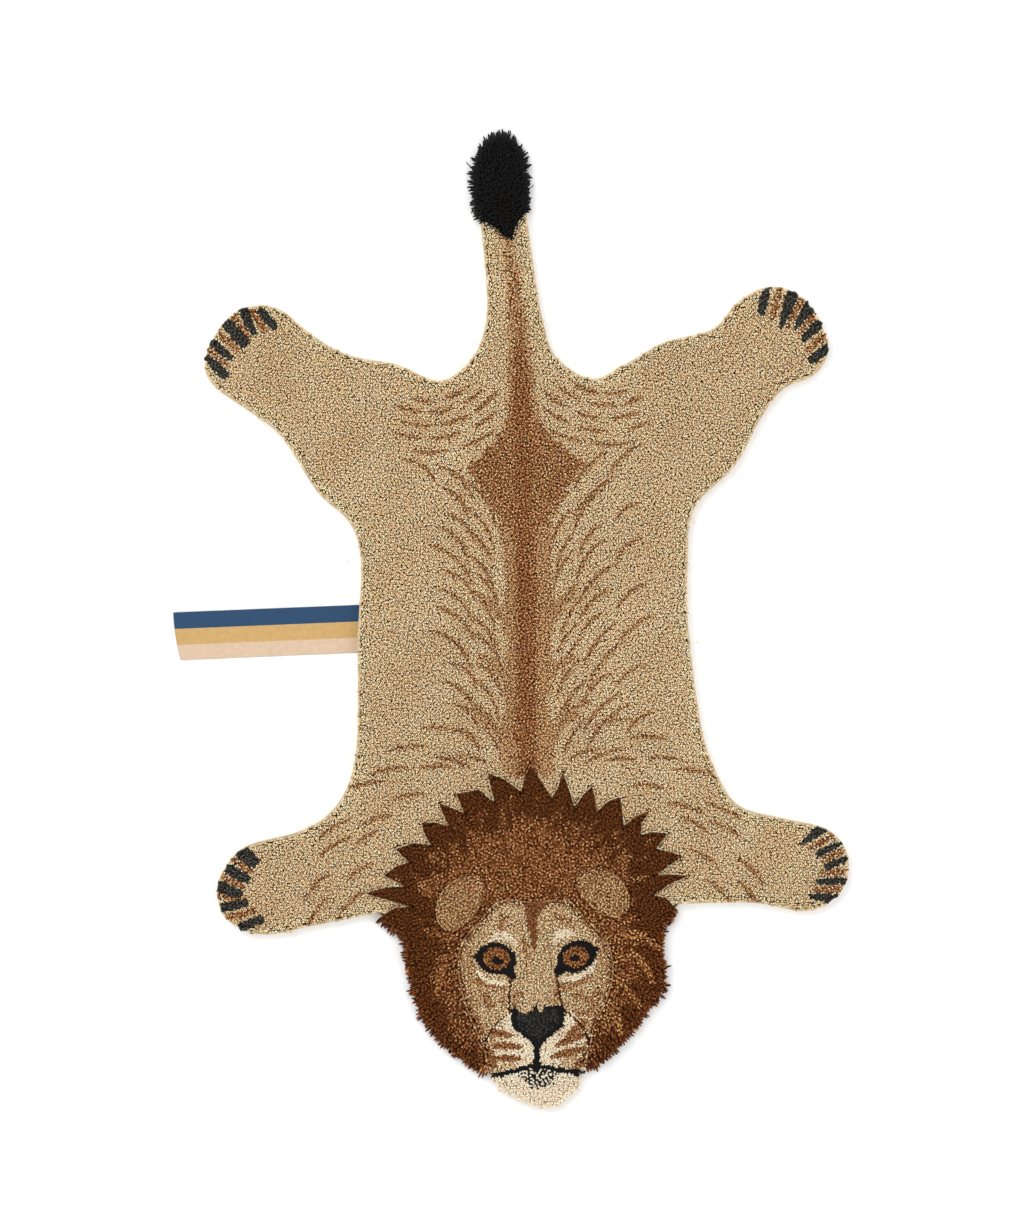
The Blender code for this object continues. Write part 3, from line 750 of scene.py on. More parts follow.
# %% Parts of the face
Oval = namedtuple("Oval", "x y half_x half_y tilt_deg")
FOREHEAD = [Row(-318, -4.6, 0.8), Row(-309, -4.4, 2.0), Row(-301, -4.1, 3.2), Row(-292, -4.7, 4.4),
            Row(-283, -5.0, 5.6), Row(-276, -3.2, 8), Row(-270, -0.8, 10.5), Row(-262, 0.5, 15)]
SHADE_STREAKS = [Stroke(-60, -338, -30, -348, -2, 4.2), Stroke(19, -352, 47, -339, 1, 5.6),
                 Stroke(28, -357, 46, -363, 0, 3.4), Stroke(-55, -349, -46, -368, 0, 3.6),
                 Stroke(-24, -366, -20, -352, 1, 2.2), Stroke(17, -350, 14, -366, -1, 2.2),
                 Stroke(44, -378, 57, -352, 2, 3.0), Stroke(-62, -372, -52, -392, -2, 3.6),
                 Stroke(26, -384, 42, -374, 3, 3.0), Stroke(-36, -296, -26, -280, 3, 2.6),
                 Stroke(14, -282, 32, -292, 2, 2.6), Stroke(-14, -300, -12, -322, 0, 2.0),
                 Stroke(-34, -368, -36, -356, 0, 2.4)]
EYE_RINGS = [Oval(-40, -320.4, 19.0, 14.8, -14), Oval(35.4, -321.4, 18.6, 14.4, 20)]
EYE_CORNERS = [Stroke(-34, -324, -23.6, -340.5, 0, 4.4), Stroke(25, -325, 15.4, -338.5, 0, 4.4),
               Stroke(-46, -317, -61, -319, 0, 4.0), Stroke(42, -318, 56, -315, 0, 4.0)]
IRISES = [Oval(-39.6, -320.6, 12.4, 10.6, -8), Oval(34.6, -322, 12.0, 10.0, 10)]
PUPILS = [Oval(-39.5, -322.8, 5.8, 2.9, -5), Oval(34, -323, 4.6, 3.4, 5)]
BROW_LIGHTS = [Stroke(-48, -304, -20, -309, 7.5, 4.2), Stroke(13, -310, 36, -301, 6, 4.0)]
UNDER_EYE_LIGHTS = [Stroke(-59, -330, -27, -342, -6.5, 2.8), Stroke(18, -342, 55, -326, -6.0, 2.8)]
MUZZLE_PADS = [Oval(-29, -402, 24, 25, 0), Oval(19, -403, 23, 25, 0)]
PAD_LIGHTS = [Oval(-20, -407, 13, 17, 20), Oval(9, -408, 13, 17, -20),
              Oval(-30.5, -385, 5, 13, 0), Oval(26, -386, 6, 13, -14), Oval(-36, -409, 12, 2.2, 0),
              Oval(27, -403, 13, 2.2, 16), Oval(27, -393, 12, 2.0, 30)]
WHISKER_MARKS = [Stroke(-50, -389, -28, -394, 1, 3.2), Stroke(-48, -402, -19, -404.5, 1, 3.0),
                 Stroke(-44, -414, -21, -415.5, 1, 2.8), Stroke(-52, -403, -45, -423, 0, 3.8),
                 Stroke(43, -382, 23, -397, -1, 3.4), Stroke(42, -395, 12, -405, -1, 3.2),
                 Stroke(42, -408, 7, -415.5, -1, 3.3), Stroke(40, -415, 29, -427, 0, 3.4)]
NOSE = [Row(-405, -5.5, 2.6), Row(-400, -5, 6), Row(-395, -4.5, 12), Row(-390, -4, 19),
        Row(-385, -3.6, 23.5), Row(-376, -3.3, 25.2), Row(-369, -3.3, 25), Row(-366.5, -3.3, 23)]
NOSE_NOTCHES = [Oval(-15, -367.5, 8, 4.8, -8), Oval(-0.5, -366.5, 3.2, 5.0, 0)]
NOSE_MIDDLE = np.array([-3.8, -381.0])
INNER_NOSE = 0.78
NOSTRILS = [Oval(-16, -384, 5, 3.2, -20), Oval(9, -384, 5, 3.2, 20)]
PHILTRUM = Stroke(-5.5, -396, -6.7, -428, 0, 2.7)
MOUTH = [Stroke(-55, -431, -5, -420.5, -1.0, 2.3), Stroke(-8, -420.5, 38, -429, -2.5, 2.2),
         Stroke(-56, -432, -46, -429, 0, 3.4), Stroke(28, -429.5, 39, -431, 0, 3.2)]
MOUTH_SPECKS = Oval(-4, -431, 18, 10.5, 0)
CHIN_TOP = (-7.0, -422.0)
CHIN_SLOPES = (0.22, -0.15)
CARVED_LINES = [Stroke(-26.5, -338, -29.5, -372, -1, 1.0), Stroke(15.6, -338, 22, -372, -1, 1.0),
                Stroke(-29, -372, -52, -428, -12.5, 1.0), Stroke(22, -372, 38, -428, 12.5, 1.0)]


def covers(points, shapes, softness=0.12):
    """Return the highest cover of several ovals."""
    return np.max([oval_cover(points, *shape, softness=softness) for shape in shapes], axis=0)


print("nose height, mm:", NOSE[-1].y - NOSE[0].y)

# %% [markdown]
# The face's yarns are then dyed in the order a tufter would fill them: the ground first, the
# pale and the brown parts next, and the dark ones last, so that the dark lines stay whole.

# %% Dye the face


def dye_face(points):
    """Return each face yarn's dye.

    The chin is all that lies below two lines that fall to both sides from the mouth's middle.
    """
    dyes = all_dyed(points, "beige")
    ragged = wavered(points, 0.5, 4.0, 31)
    x, y = ragged.T
    beside = x - CHIN_TOP[0]
    mouth_y = CHIN_TOP[1] + beside * np.where(beside < 0, *CHIN_SLOPES)
    sides = soft_step(np.abs(points[:, 0] + 4), 40.0, 72.0)
    nose = rows_cover(ragged, NOSE, 1.2) * (1.0 - covers(ragged, NOSE_NOTCHES))
    inner_nose = rows_cover((ragged - NOSE_MIDDLE) / INNER_NOSE + NOSE_MIDDLE, NOSE, 1.2)
    border = 0.60 * (1.0 - soft_step(nearest_edge(points, cuts["face_pile"])[0], 0.0, 8.0))
    border *= 1.0 + 0.6 * cloudy(points, 14.0, 34)
    layers = [
        (0.42 + 0.14 * cloudy(points, 16.0, 33) + 0.22 * sides, "shade_beige"),
        (0.34 * sides, "soft_brown"),
        (border, "mane_brown"),
        (rows_cover(ragged, FOREHEAD, 2.5), "mane_brown"),
        (0.70 * strokes_cover(ragged, SHADE_STREAKS, 5.0), "soft_brown"),
        (0.35 * strokes_cover(ragged, SHADE_STREAKS, 5.0), "stripe_brown"),
        (0.25 * covers(ragged, MUZZLE_PADS), "cream"),
        (0.95 * covers(ragged, PAD_LIGHTS, 0.3), "cream"),
        (1.00 * strokes_cover(ragged, WHISKER_MARKS, 1.8), "soft_brown"),
        (0.70 * strokes_cover(ragged, WHISKER_MARKS, 1.8), "stripe_brown"),
        (0.9 * strokes_cover(ragged, BROW_LIGHTS + UNDER_EYE_LIGHTS, 2.0), "cream"),
        (1.0 * (y < mouth_y), "cream"),
        (0.5 * oval_cover(ragged, *MOUTH_SPECKS, softness=0.3), "brush_black"),
        (strokes_cover(ragged, CARVED_LINES, 0.8, 0.05), "mane_dark"),
        (covers(ragged, EYE_RINGS, 0.03) + strokes_cover(ragged, EYE_CORNERS, 0.6), "brush_black"),
        (covers(ragged, IRISES, 0.05), "amber"),
        (0.3 * covers(ragged, IRISES, 0.05), "mane_gold"),
        (0.2 * covers(ragged, IRISES, 0.05), "mane_dark"),
        (0.95 * covers(ragged, PUPILS), "brush_black"),
        (nose, "brush_black"),
        (0.78 * inner_nose * nose, "nose_charcoal"),
        (0.8 * covers(ragged, NOSTRILS), "brush_black"),
        (strokes_cover(ragged, MOUTH + [PHILTRUM], 1.0, 0.12), "brush_black"),
    ]
    for cover, spool in layers:
        mix_in(dyes, points, cover, spool)
    return dyes


face_dyes = dye_face(roots["face_pile"])
print("dyed", len(face_dyes), "face yarns")

# %% [markdown]
# The ears are fawn and mottled, browner in their middle. Their edge takes up the mane's brown
# where it faces the crown: the way to the nearest edge tells on which side a yarn stands.

# %% Dye the ears


def middle_of(segments):
    """Return the middle of an outline's box."""
    return (segments.min((0, 1)) + segments.max((0, 1))) / 2


def dye_ear(points, segments):
    """Return each ear yarn's dye: fawn, browner in its middle and where it meets the crown."""
    dyes = all_dyed(points, "fawn")
    middle = points - points.mean(0)
    mix_in(dyes, points, 0.30 + 0.15 * cloudy(points, 12.0, 41), "shade_beige")
    mix_in(dyes, points, 0.45 - 0.012 * np.hypot(*middle.T) + 0.35 * cloudy(points, 11.0, 42), "soft_brown")
    mix_in(dyes, points, 0.12 + 0.22 * cloudy(points, 13.0, 43), "stripe_brown")
    gap, way = nearest_edge(points, segments)
    crownwards = soft_step(-way[:, 0] * np.sign(middle_of(segments)[0]) + way[:, 1], -0.2, 1.0)
    mix_in(dyes, points, 0.05 + 0.6 * (1.0 - soft_step(gap, 0.0, 7.0)) * crownwards, "mane_brown")
    return dyes


ear_dyes = {node: dye_ear(roots[node], cuts[node]) for node in ("ear_left", "ear_right")}
print("dyed", [len(dyes) for dyes in ear_dyes.values()], "ear yarns")

# %% [markdown]
# The mane changes from mid brown beside the face to dark brown at its points, in streaks that
# run outwards like hair. Over the crown the mid brown reaches further out than on the cheeks.
# A few strands on the right cheek are golden. A yarn's share is 0 at the face and 1 at the edge.

# %% Dye the mane
HEAD_CENTRE = np.array([-3.0, -296.0])
STREAK_ARC_MM = 105.0
GOLD_STRANDS = [Stroke(84, -297, 110, -317, 2, 3.4), Stroke(84, -316, 104, -350, 3, 3.2),
                Stroke(72, -345, 92, -372, 2, 2.8), Stroke(62, -362, 72, -395, 2, 4.0),
                Stroke(76, -300, 92, -306, 0, 3.0), Stroke(-84, -322, -96, -350, -2, 2.6)]


def mane_share(points):
    """Return distance to face over distance to face plus distance to outer edge."""
    to_face = nearest_edge(points, cuts["face_pile"])[0]
    outer = np.vstack([cuts["body_pile"], cuts["base_cloth"]])
    to_outer = nearest_edge(points, outer)[0]
    return to_face / (to_face + to_outer)


def streaks_at(points, size, seed):
    """Return noise drawn out along the rays from the head's centre."""
    x, y = (points - HEAD_CENTRE).T
    rays = np.column_stack([np.arctan2(y, -x) * STREAK_ARC_MM, 0.22 * np.hypot(x, y)])
    return cloudy(rays, size, seed)


def dye_mane(points):
    """Return each mane yarn's dye and whether it is one of the lighter, brown group."""
    dyes = all_dyed(points, "mane_dark")
    streaks = streaks_at(points, 7.0, 51)
    edge = mane_share(points) + 0.15 * streaks + 0.09 * streaks_at(points, 20.0, 52)
    crown = soft_step(points[:, 1], -300.0, -250.0)
    brown = 1.0 - soft_step(edge - 0.26 * crown, 0.30, 0.64)
    right = soft_step(points[:, 0], 30.0, 70.0) * (1.0 - crown)
    group = mix_in(dyes, points, (0.80 + 0.1 * crown) * brown, "mane_brown")
    shaded = 0.55 * soft_step(streaks_at(points, 13.0, 53), 0.0, 0.9)
    group &= ~mix_in(dyes, points, shaded, "mane_dark")
    light = 1.0 - soft_step(edge - 0.1 * crown, 0.05, 0.45)
    lit = 0.5 + 0.5 * soft_step(-streaks, -0.4, 0.8)
    group |= mix_in(dyes, points, (0.20 + 0.35 * right) * light * lit, "mane_gold")
    group |= mix_in(dyes, points, 0.30 * crown * brown * lit, "mane_gold")
    group |= mix_in(dyes, points, 0.7 * strokes_cover(points, GOLD_STRANDS, 2.5), "mane_gold")
    beside_face = 1.0 - soft_step(nearest_edge(points, cuts["face_pile"])[0], 0.0, 5.0)
    group |= mix_in(dyes, points, 0.45 * beside_face, "shade_beige")
    return dyes, group


mane_dyes, mane_is_brown = dye_mane(roots["mane"])
print("mane yarns, brown and all:", int(mane_is_brown.sum()), len(mane_dyes))

# %% [markdown]
# Next, each yarn's stand: how high its tip is, and how far it leans. Cut pile stands upright.
# Where the cloth ends it is shorn round and leans out, here more and there less, so the rug's
# edge waves a little. Where two zones meet only a fine seam is shorn in. Carved lines of the
# face and the fur ticks are shorn deeper, so they show as grooves.

# %% Heights and leans
CLOTH_TOP = 3.0
FOOT_HEIGHT = 1.4
TIP_SPREAD = 0.7
GROOVE_DEPTH = 3.5
TICK_DEPTH = 1.3
LUMP_SIZE = 26.0
LEAN_BAND_MM = 9.0
WAVE_SIZE = 9.0
WAVE_REACH = 1.6
LEAST_LEAN = 0.3
BORDER_LEAN = 0.8
FACE_DROP = 2.2
FACE_SLOPE_MM = 8.0
Pile = namedtuple("Pile", "top free_round free_lean seam_round lumps")
PILES = {
    "body_pile": Pile(12.8, 4.2, 1.6, 0.4, 0.35),
    "face_pile": Pile(13.8, 4.0, 2.2, 0.2, 0.3),
    "ear_left": Pile(15.4, 2.0, 0.0, 1.0, 0.3),
    "ear_right": Pile(15.4, 2.0, 0.0, 1.0, 0.3),
    "mane": Pile(16.2, 6.0, 2.5, 0.8, 0.8),
    "tail_brush": Pile(16.5, 6.0, 2.5, 1.5, 1.2),
}


def quarter_round(gap, radius):
    """Return how far a quarter circle at an edge lies below the top: r - sqrt(r^2 - (r - gap)^2)."""
    edge = np.clip(1.0 - gap / radius, 0.0, 1.0)
    return radius * (1.0 - np.sqrt(1.0 - edge ** 2))


def gap_to_face(points):
    """Return each point's distance to the edge of the face or of an ear, whichever is nearer."""
    return np.min([nearest_edge(points, cuts[node])[0]
                   for node in ("face_pile", "ear_left", "ear_right")], axis=0)


def tips_and_leans(node, points):
    """Return tip heights, and the leans of the yarns over the cloth's free edge."""
    pile = PILES[node]
    to_free, way = nearest_edge(points, cuts["base_cloth"])
    to_seam = nearest_edge(points, cuts[node])[0]
    free_drop = quarter_round(to_free, pile.free_round)
    seam_drop = quarter_round(to_seam, pile.seam_round)
    uneven = rng.uniform(-TIP_SPREAD, TIP_SPREAD, len(points))
    rise = pile.lumps * cloudy(points, LUMP_SIZE, 61) + uneven
    over = np.clip(1.0 - to_free / LEAN_BAND_MM, 0.0, 1.0)
    ragged = np.maximum(LEAST_LEAN, 1.0 + WAVE_REACH * cloudy(points, WAVE_SIZE, 62))
    leans = way * (pile.free_lean * over * ragged)[:, None]
    if node in ("mane", "face_pile"):
        gap, to_border = nearest_edge(points, cuts["face_pile"])
        close = (1.0 - soft_step(gap, 0.0, 5.0)) * soft_step(to_free, 3.0, 8.0)
        leans = leans + BORDER_LEAN * close[:, None] * to_border
    if node == "mane":
        beside_face = 1.0 - soft_step(gap_to_face(points), 0.0, FACE_SLOPE_MM)
        seam_drop = seam_drop + FACE_DROP * beside_face
    return pile.top - free_drop - seam_drop + rise, leans


print("piles:", list(PILES))

# %% [markdown]
# A yarn is a closed strand with four sides: it starts in a point, rings of four points are
# carried along its path, and it ends in a point. Ring i lies at c_i + r_i (cos a u_i + sin a v_i),
# where u_i and v_i stand square to the path. One array holds the points of all strands at once.

# %% The shape of a strand
SIDES = 4


def strand_points(paths, radii, turns):
    """Return the strands' points: four to a ring, then the tip, then the foot."""
    centres = paths[:, 1:-1]
    ahead = np.gradient(paths, axis=1)[:, 1:-1]
    ahead /= np.linalg.norm(ahead, axis=2, keepdims=True)
    first = np.stack([np.cos(turns), np.sin(turns), np.zeros(len(turns))], 1)[:, None]
    u = first - (first * ahead).sum(2, keepdims=True) * ahead
    u /= np.linalg.norm(u, axis=2, keepdims=True)
    v = np.cross(ahead, u)
    angle = np.arange(SIDES) * math.pi / 2
    ring = np.cos(angle)[:, None] * u[:, :, None] + np.sin(angle)[:, None] * v[:, :, None]
    ring = centres[:, :, None] + radii[:, :, None, None] * ring
    return np.concatenate([ring.reshape(len(paths), -1, 3), paths[:, -1:], paths[:, :1]], 1)


def strand_faces(rings):
    """Return one strand's faces as corner lists: its foot, its sides and its tip."""
    last, tip, foot = (rings - 1) * SIDES, rings * SIDES, rings * SIDES + 1
    following = [1, 2, 3, 0]
    faces = [[following[k], k, foot] for k in range(SIDES)]
    for low in range(0, last, SIDES):
        faces += [[low + k, low + following[k], low + SIDES + following[k], low + SIDES + k]
                  for k in range(SIDES)]
    return faces + [[last + k, last + following[k], tip] for k in range(SIDES)]


print("triangles in a strand of 1, 2 and 3 rings:",
      [sum(len(face) - 2 for face in strand_faces(rings)) for rings in (1, 2, 3)])

# %% [markdown]
# All strands of a piece become one mesh, because thousands of small objects would be slow. Each
# point keeps its yarn's dye, its rise along the yarn, which sets a painted shade towards the
# root, and a number by which yarns differ. For baking, each strand is laid out in a small square
# cell of its own.

# %% Strands as one mesh
RING_HALF = 0.30
STAR_HALF = 0.48


def cell_places(rings):
    """Return each face corner's place in the strand's own square cell of the bake map.

    The strand opens like a star. Ring i is a square of half size RING_HALF (1 - i / rings)
    about the tip, and the four faces of the foot point outwards from the first square.
    """
    square = np.array([(-1, -1), (1, -1), (1, 1), (-1, 1)])
    half = RING_HALF * (1.0 - np.arange(rings) / rings)
    place = np.vstack([(half[:, None, None] * square).reshape(-1, 2), (0, 0), (0, 0)])
    faces = strand_faces(rings)
    corners = np.vstack([place[face] for face in faces])
    corners[2:3 * SIDES:3] = STAR_HALF * np.array([(0, -1), (1, 0), (0, 1), (-1, 0)])
    return corners + 0.5


def add_values(mesh, name, kind, values):
    """Store a value for each point of a mesh under a name."""
    layer = mesh.attributes.new(name, kind, "POINT")
    layer.data.foreach_set("vector" if kind == "FLOAT_VECTOR" else "value",
                           np.asarray(values, np.float32).ravel())


def strand_mesh(name, paths, radii, turns, dyes, rises):
    """Build one mesh of closed strands, with its dye, rise, number and bake map."""
    count, rings = len(paths), paths.shape[1] - 2
    points = strand_points(paths, np.broadcast_to(radii, (count, rings)), turns)
    template = strand_faces(rings)
    corners = np.concatenate([np.array(face) for face in template])
    each = rings * SIDES + 2
    vertices = (corners[None] + each * np.arange(count)[:, None]).ravel()
    starts = np.cumsum([0] + [len(face) for face in template])
    starts = (starts[None, :-1] + len(corners) * np.arange(count)[:, None]).ravel()
    mesh = bpy.data.meshes.new(name)
    mesh.vertices.add(count * each)
    mesh.vertices.foreach_set("co", (points * MM).astype(np.float32).ravel())
    mesh.loops.add(len(vertices))
    mesh.loops.foreach_set("vertex_index", vertices.astype(np.int32))
    mesh.polygons.add(len(starts))
    mesh.polygons.foreach_set("loop_start", starts.astype(np.int32))
    mesh.update(calc_edges=True)
    mesh.shade_smooth()
    number = np.repeat(spread(paths[:, 0, :2], len(SPOOLS) + 1), each)
    rise = np.tile(np.concatenate([np.repeat(rises[1:-1], SIDES), rises[-1:], rises[:1]]), count)
    add_values(mesh, "dye", "FLOAT_VECTOR", np.repeat(dyes, each, axis=0))
    add_values(mesh, "rise", "FLOAT", rise)
    add_values(mesh, "number", "FLOAT", number)
    side = math.ceil(math.sqrt(count))
    cell = np.stack([np.arange(count) % side, np.arange(count) // side], 1)
    uv = (cell[:, None] + cell_places(rings)[None]) / side
    mesh.uv_layers.new(name="OFBake").data.foreach_set("uv", uv.astype(np.float32).ravel())
    return mesh


print("a cell holds", len(cell_places(1)), "face corners of a strand of 1 ring")

# %% [markdown]
# A finish is a small network of nodes. These short calls add nodes, feed them with values or
# with other nodes' results, and join a shared group to a material's shader.

# %% Short calls for nodes


def new_group(name, inputs, outputs):
    """Make a node group with named sockets, each with its type and, for inputs, its value."""
    group = bpy.data.node_groups.new(name, "ShaderNodeTree")
    for socket, kind, value in inputs:
        made = group.interface.new_socket(socket, in_out="INPUT", socket_type=kind)
        if value is not None:
            made.default_value = value
    for socket, kind in outputs:
        group.interface.new_socket(socket, in_out="OUTPUT", socket_type=kind)
    return group


class Wiring:
    """Short calls to add nodes to a tree and to join them."""

    def __init__(self, tree):
        """Keep the tree that the nodes go into."""
        self.tree = tree

    def node(self, kind, inputs=(), **settings):
        """Add a node, set its settings, and feed its inputs with values or other sockets."""
        made = self.tree.nodes.new(kind)
        for key, value in settings.items():
            setattr(made, key, value)
        for key, value in dict(inputs).items():
            if isinstance(value, bpy.types.NodeSocket):
                self.tree.links.new(value, made.inputs[key])
            else:
                made.inputs[key].default_value = value
        return made

    def math(self, operation, a, b=0.0, c=0.0):
        """Return one math result."""
        return self.node("ShaderNodeMath", {0: a, 1: b, 2: c}, operation=operation).outputs[0]

    def noise(self, place, scale, detail=2.0):
        """Return a noise value over a place, centred on zero."""
        made = self.node("ShaderNodeTexNoise", {"Vector": place, "Scale": scale, "Detail": detail})
        return self.math("SUBTRACT", made.outputs["Fac"], 0.5)

    def scaled(self, vector, share):
        """Return a colour or a place multiplied by one number."""
        made = self.node("ShaderNodeVectorMath", {0: vector, "Scale": share}, operation="SCALE")
        return made.outputs[0]

    def blend(self, share, first, second):
        """Return a colour that is the first at share 0 and the second at share 1."""
        made = self.node("ShaderNodeMix", {0: share, 6: first, 7: second}, data_type="RGBA")
        return made.outputs[2]

    def feed_shader(self, group, values):
        """Place a group, give it its values, and feed the material's shader from it."""
        fed = self.node("ShaderNodeGroup", values, node_tree=group).outputs
        shader = self.tree.nodes["Principled BSDF"]
        for output, socket in (("Color", "Base Color"), ("Roughness", "Roughness"), ("Normal", "Normal")):
            self.tree.links.new(fed[output], shader.inputs[socket])


print("calls:", [name for name in vars(Wiring) if not name.startswith("_")])

# %% [markdown]
# Wool is matt, with a faint sheen from its fibres. One shared group colours every yarn: it
# takes the yarn's dye, makes some yarns lighter and paler and others darker and richer, partly
# as tone that differs at random and partly as painted highlight and painted shade on yarn ends
# that would catch more or less light, and adds fine fibres as lighter and darker hairs and bumps.
# Towards the root the colour is painted darker and richer: a painted shade for the little light
# that reaches down between the yarns, richer because light that bounces between yarns takes on
# more of their dye each time.

# %% A shared group for wool
GROUP_OUTPUTS = [("Color", "NodeSocketColor"), ("Roughness", "NodeSocketFloat"),
                 ("Normal", "NodeSocketVector")]
PATCH_SCALE = 16.0
FIBRE_BUMP_M = 0.0004
BRIGHTEST = (0.97, 0.95, 0.92)


def wool_group():
    """Build the group: dye x yarn tone (partly painted highlight and shade) x fibre x patch x painted root
    shade, and the fibres' bumps.
    """
    group = new_group("wool_yarn", [
        ("Dye", "NodeSocketColor", (0.5, 0.5, 0.5, 1)), ("Rise", "NodeSocketFloat", 1.0),
        ("Number", "NodeSocketFloat", 0.5), ("Heather", "NodeSocketFloat", 0.3),
        ("Root Tone", "NodeSocketFloat", 0.5), ("Fibre Scale", "NodeSocketFloat", 2200.0),
    ], GROUP_OUTPUTS)
    wires = Wiring(group)
    given = wires.node("NodeGroupInput").outputs
    place = wires.node("ShaderNodeTexCoord").outputs["Object"]
    fibre = wires.noise(place, given["Fibre Scale"], 3.0)
    patch = wires.noise(place, PATCH_SCALE)
    # Yarn tone: partly heather at random, partly painted highlight and shade; lighter yarns also turn
    # paler.
    step = wires.math("MULTIPLY", wires.math("SUBTRACT", given["Number"], 0.5), given["Heather"])
    tone = wires.math("MULTIPLY", wires.math("EXPONENT", step), wires.math("MULTIPLY_ADD", fibre, 0.5, 1.0))
    tone = wires.math("MULTIPLY", tone, wires.math("MULTIPLY_ADD", patch, 0.2, 1.0))
    # Painted shade: towards the root the colour gets darker, and by a higher gamma richer.
    root = wires.node("ShaderNodeMapRange", {
        "Value": given["Rise"], "From Min": 0.2, "From Max": 0.95,
        "To Min": given["Root Tone"], "To Max": 1.0}).outputs[0]
    tone = wires.math("MULTIPLY", tone, root)
    depth = wires.math("MULTIPLY_ADD", wires.math("SUBTRACT", 1.0, root), 0.8, 1.0)
    green = wires.node("ShaderNodeSeparateColor", {"Color": given["Dye"]}).outputs["Green"]
    dyed = wires.math("MINIMUM", wires.math("MULTIPLY", green, 12.0), 1.0)
    richer = wires.math("MINIMUM", step, wires.math("MULTIPLY", step, 0.45))
    depth = wires.math("SUBTRACT", depth, wires.math("MULTIPLY", richer, dyed))
    deep = wires.node("ShaderNodeGamma", {"Color": given["Dye"], "Gamma": depth}).outputs[0]
    colour = wires.node("ShaderNodeVectorMath", {0: wires.scaled(deep, tone), 1: BRIGHTEST},
                        operation="MINIMUM").outputs[0]
    rough = wires.math("MULTIPLY_ADD", fibre, 0.25, 0.86)
    bump = wires.node("ShaderNodeBump", {"Height": fibre, "Strength": 0.5, "Distance": FIBRE_BUMP_M})
    wires.node("NodeGroupOutput", {"Color": colour, "Roughness": rough, "Normal": bump.outputs[0]})
    return group


WOOL = wool_group()
print("wool group nodes:", len(WOOL.nodes))

# %% [markdown]
# Every yarn zone gets its own material from that group. Its heather value says how far its
# yarns differ in tone, by chance and by painted highlight and shade: most in the mane and the
# brown marks, least where pale yarns are seen from the side. Its root value says how dark the
# painted shade at the roots gets. Black brush wool is the glossiest, and the mane's is the mattest.

# %% Wool materials
SHEEN_ROUGHNESS = 0.5
Wool = namedtuple("Wool", "name heather root_tone fibre_scale sheen shine")
WOOLS = {
    "body_pile": Wool("tan_heathered_wool", 0.65, 0.30, 2200.0, 0.12, 0.15),
    "edge": Wool("tan_edge_wool", 0.40, 0.55, 2200.0, 0.12, 0.15),
    "marks": Wool("brown_marking_wool", 1.10, 0.30, 2200.0, 0.10, 0.15),
    "face_pile": Wool("beige_face_wool", 0.70, 0.30, 2200.0, 0.12, 0.15),
    "cream": Wool("cream_face_wool", 0.45, 0.55, 2200.0, 0.12, 0.15),
    "ears": Wool("fawn_ear_wool", 0.95, 0.30, 2200.0, 0.10, 0.15),
    "mane": Wool("dark_brown_mane_wool", 1.20, 0.34, 1800.0, 0.05, 0.12),
    "tail_brush": Wool("black_brush_wool", 0.5, 0.5, 1800.0, 0.05, 0.25),
}


def wool_material(wool):
    """Make a Principled wool whose colour, roughness and normal come from the shared group."""
    material = new_material(wool.name, {
        "Sheen Weight": wool.sheen, "Sheen Roughness": SHEEN_ROUGHNESS, "Specular IOR Level": wool.shine})
    wires = Wiring(material.node_tree)
    dye, rise, number = [wires.node("ShaderNodeAttribute", attribute_name=name).outputs
                         for name in ("dye", "rise", "number")]
    wires.feed_shader(WOOL, {
        "Dye": dye["Vector"], "Rise": rise["Fac"], "Number": number["Fac"], "Heather": wool.heather,
        "Root Tone": wool.root_tone, "Fibre Scale": wool.fibre_scale})
    return material


wools = {zone: wool_material(wool) for zone, wool in WOOLS.items()}
print("wools:", [material.name for material in wools.values()])

# %% [markdown]
# Cut pile: each yarn rises straight from the cloth, widens to its open end, and closes in a low
# point. The body's groups of yarn, the face and the ears are made this way. The yarns at the
# free edge are seen from the side, and the face's cream ones stand out most. Both get one more
# ring, so they stay full further down. Cream yarns are a piece of their own.

# %% Cut pile pieces
Cut = namedtuple("Cut", "shares radii")
BED_CUT = Cut(np.array([0.0, 0.86, 1.0]), np.array([[1.02]]))
EDGE_CUT = Cut(np.array([0.0, 0.22, 0.80, 1.0]), np.array([[1.1, 1.35]]))
CREAM_CUT = Cut(np.array([0.0, 0.35, 0.86, 1.0]), np.array([[1.1, 1.12]]))
UPRIGHT_POWER = 1.5
CHANCE_LEAN = 0.25
BEARD_LEAN = 3.0
BEARD_FROM, BEARD_FULL = 432.0, 448.0


def add_piece(name, mesh, material, slot, *nodes):
    """Show a mesh as a piece that rides on the rug and stands for its solids."""
    mesh.materials.append(material)
    piece = add_object(name, mesh)
    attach(piece, "root")
    if nodes:
        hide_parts(*nodes)
    print(name, "triangles", len(mesh.loops) - 2 * len(mesh.polygons))
    return piece


def leaning_paths(points, leans, tips, shares, power):
    """Return paths that rise evenly from the cloth to the tips and lean with a power of the share."""
    plan = points[:, None] + leans[:, None] * (shares ** power)[None, :, None]
    height = FOOT_HEIGHT + (tips - FOOT_HEIGHT)[:, None] * shares
    return np.concatenate([plan, height[:, :, None]], 2)


def upright_paths(node, points, shorn, shares):
    """Return paths from the cloth to the tips, which lean a little at random.

    Yarns below the mouth are the chin's beard: they hang down.
    """
    tips, leans = tips_and_leans(node, points)
    leans = leans + rng.normal(0.0, CHANCE_LEAN, points.shape)
    leans[:, 1] -= BEARD_LEAN * soft_step(-points[:, 1], BEARD_FROM, BEARD_FULL)
    return leaning_paths(points, leans, tips - shorn, shares, UPRIGHT_POWER)


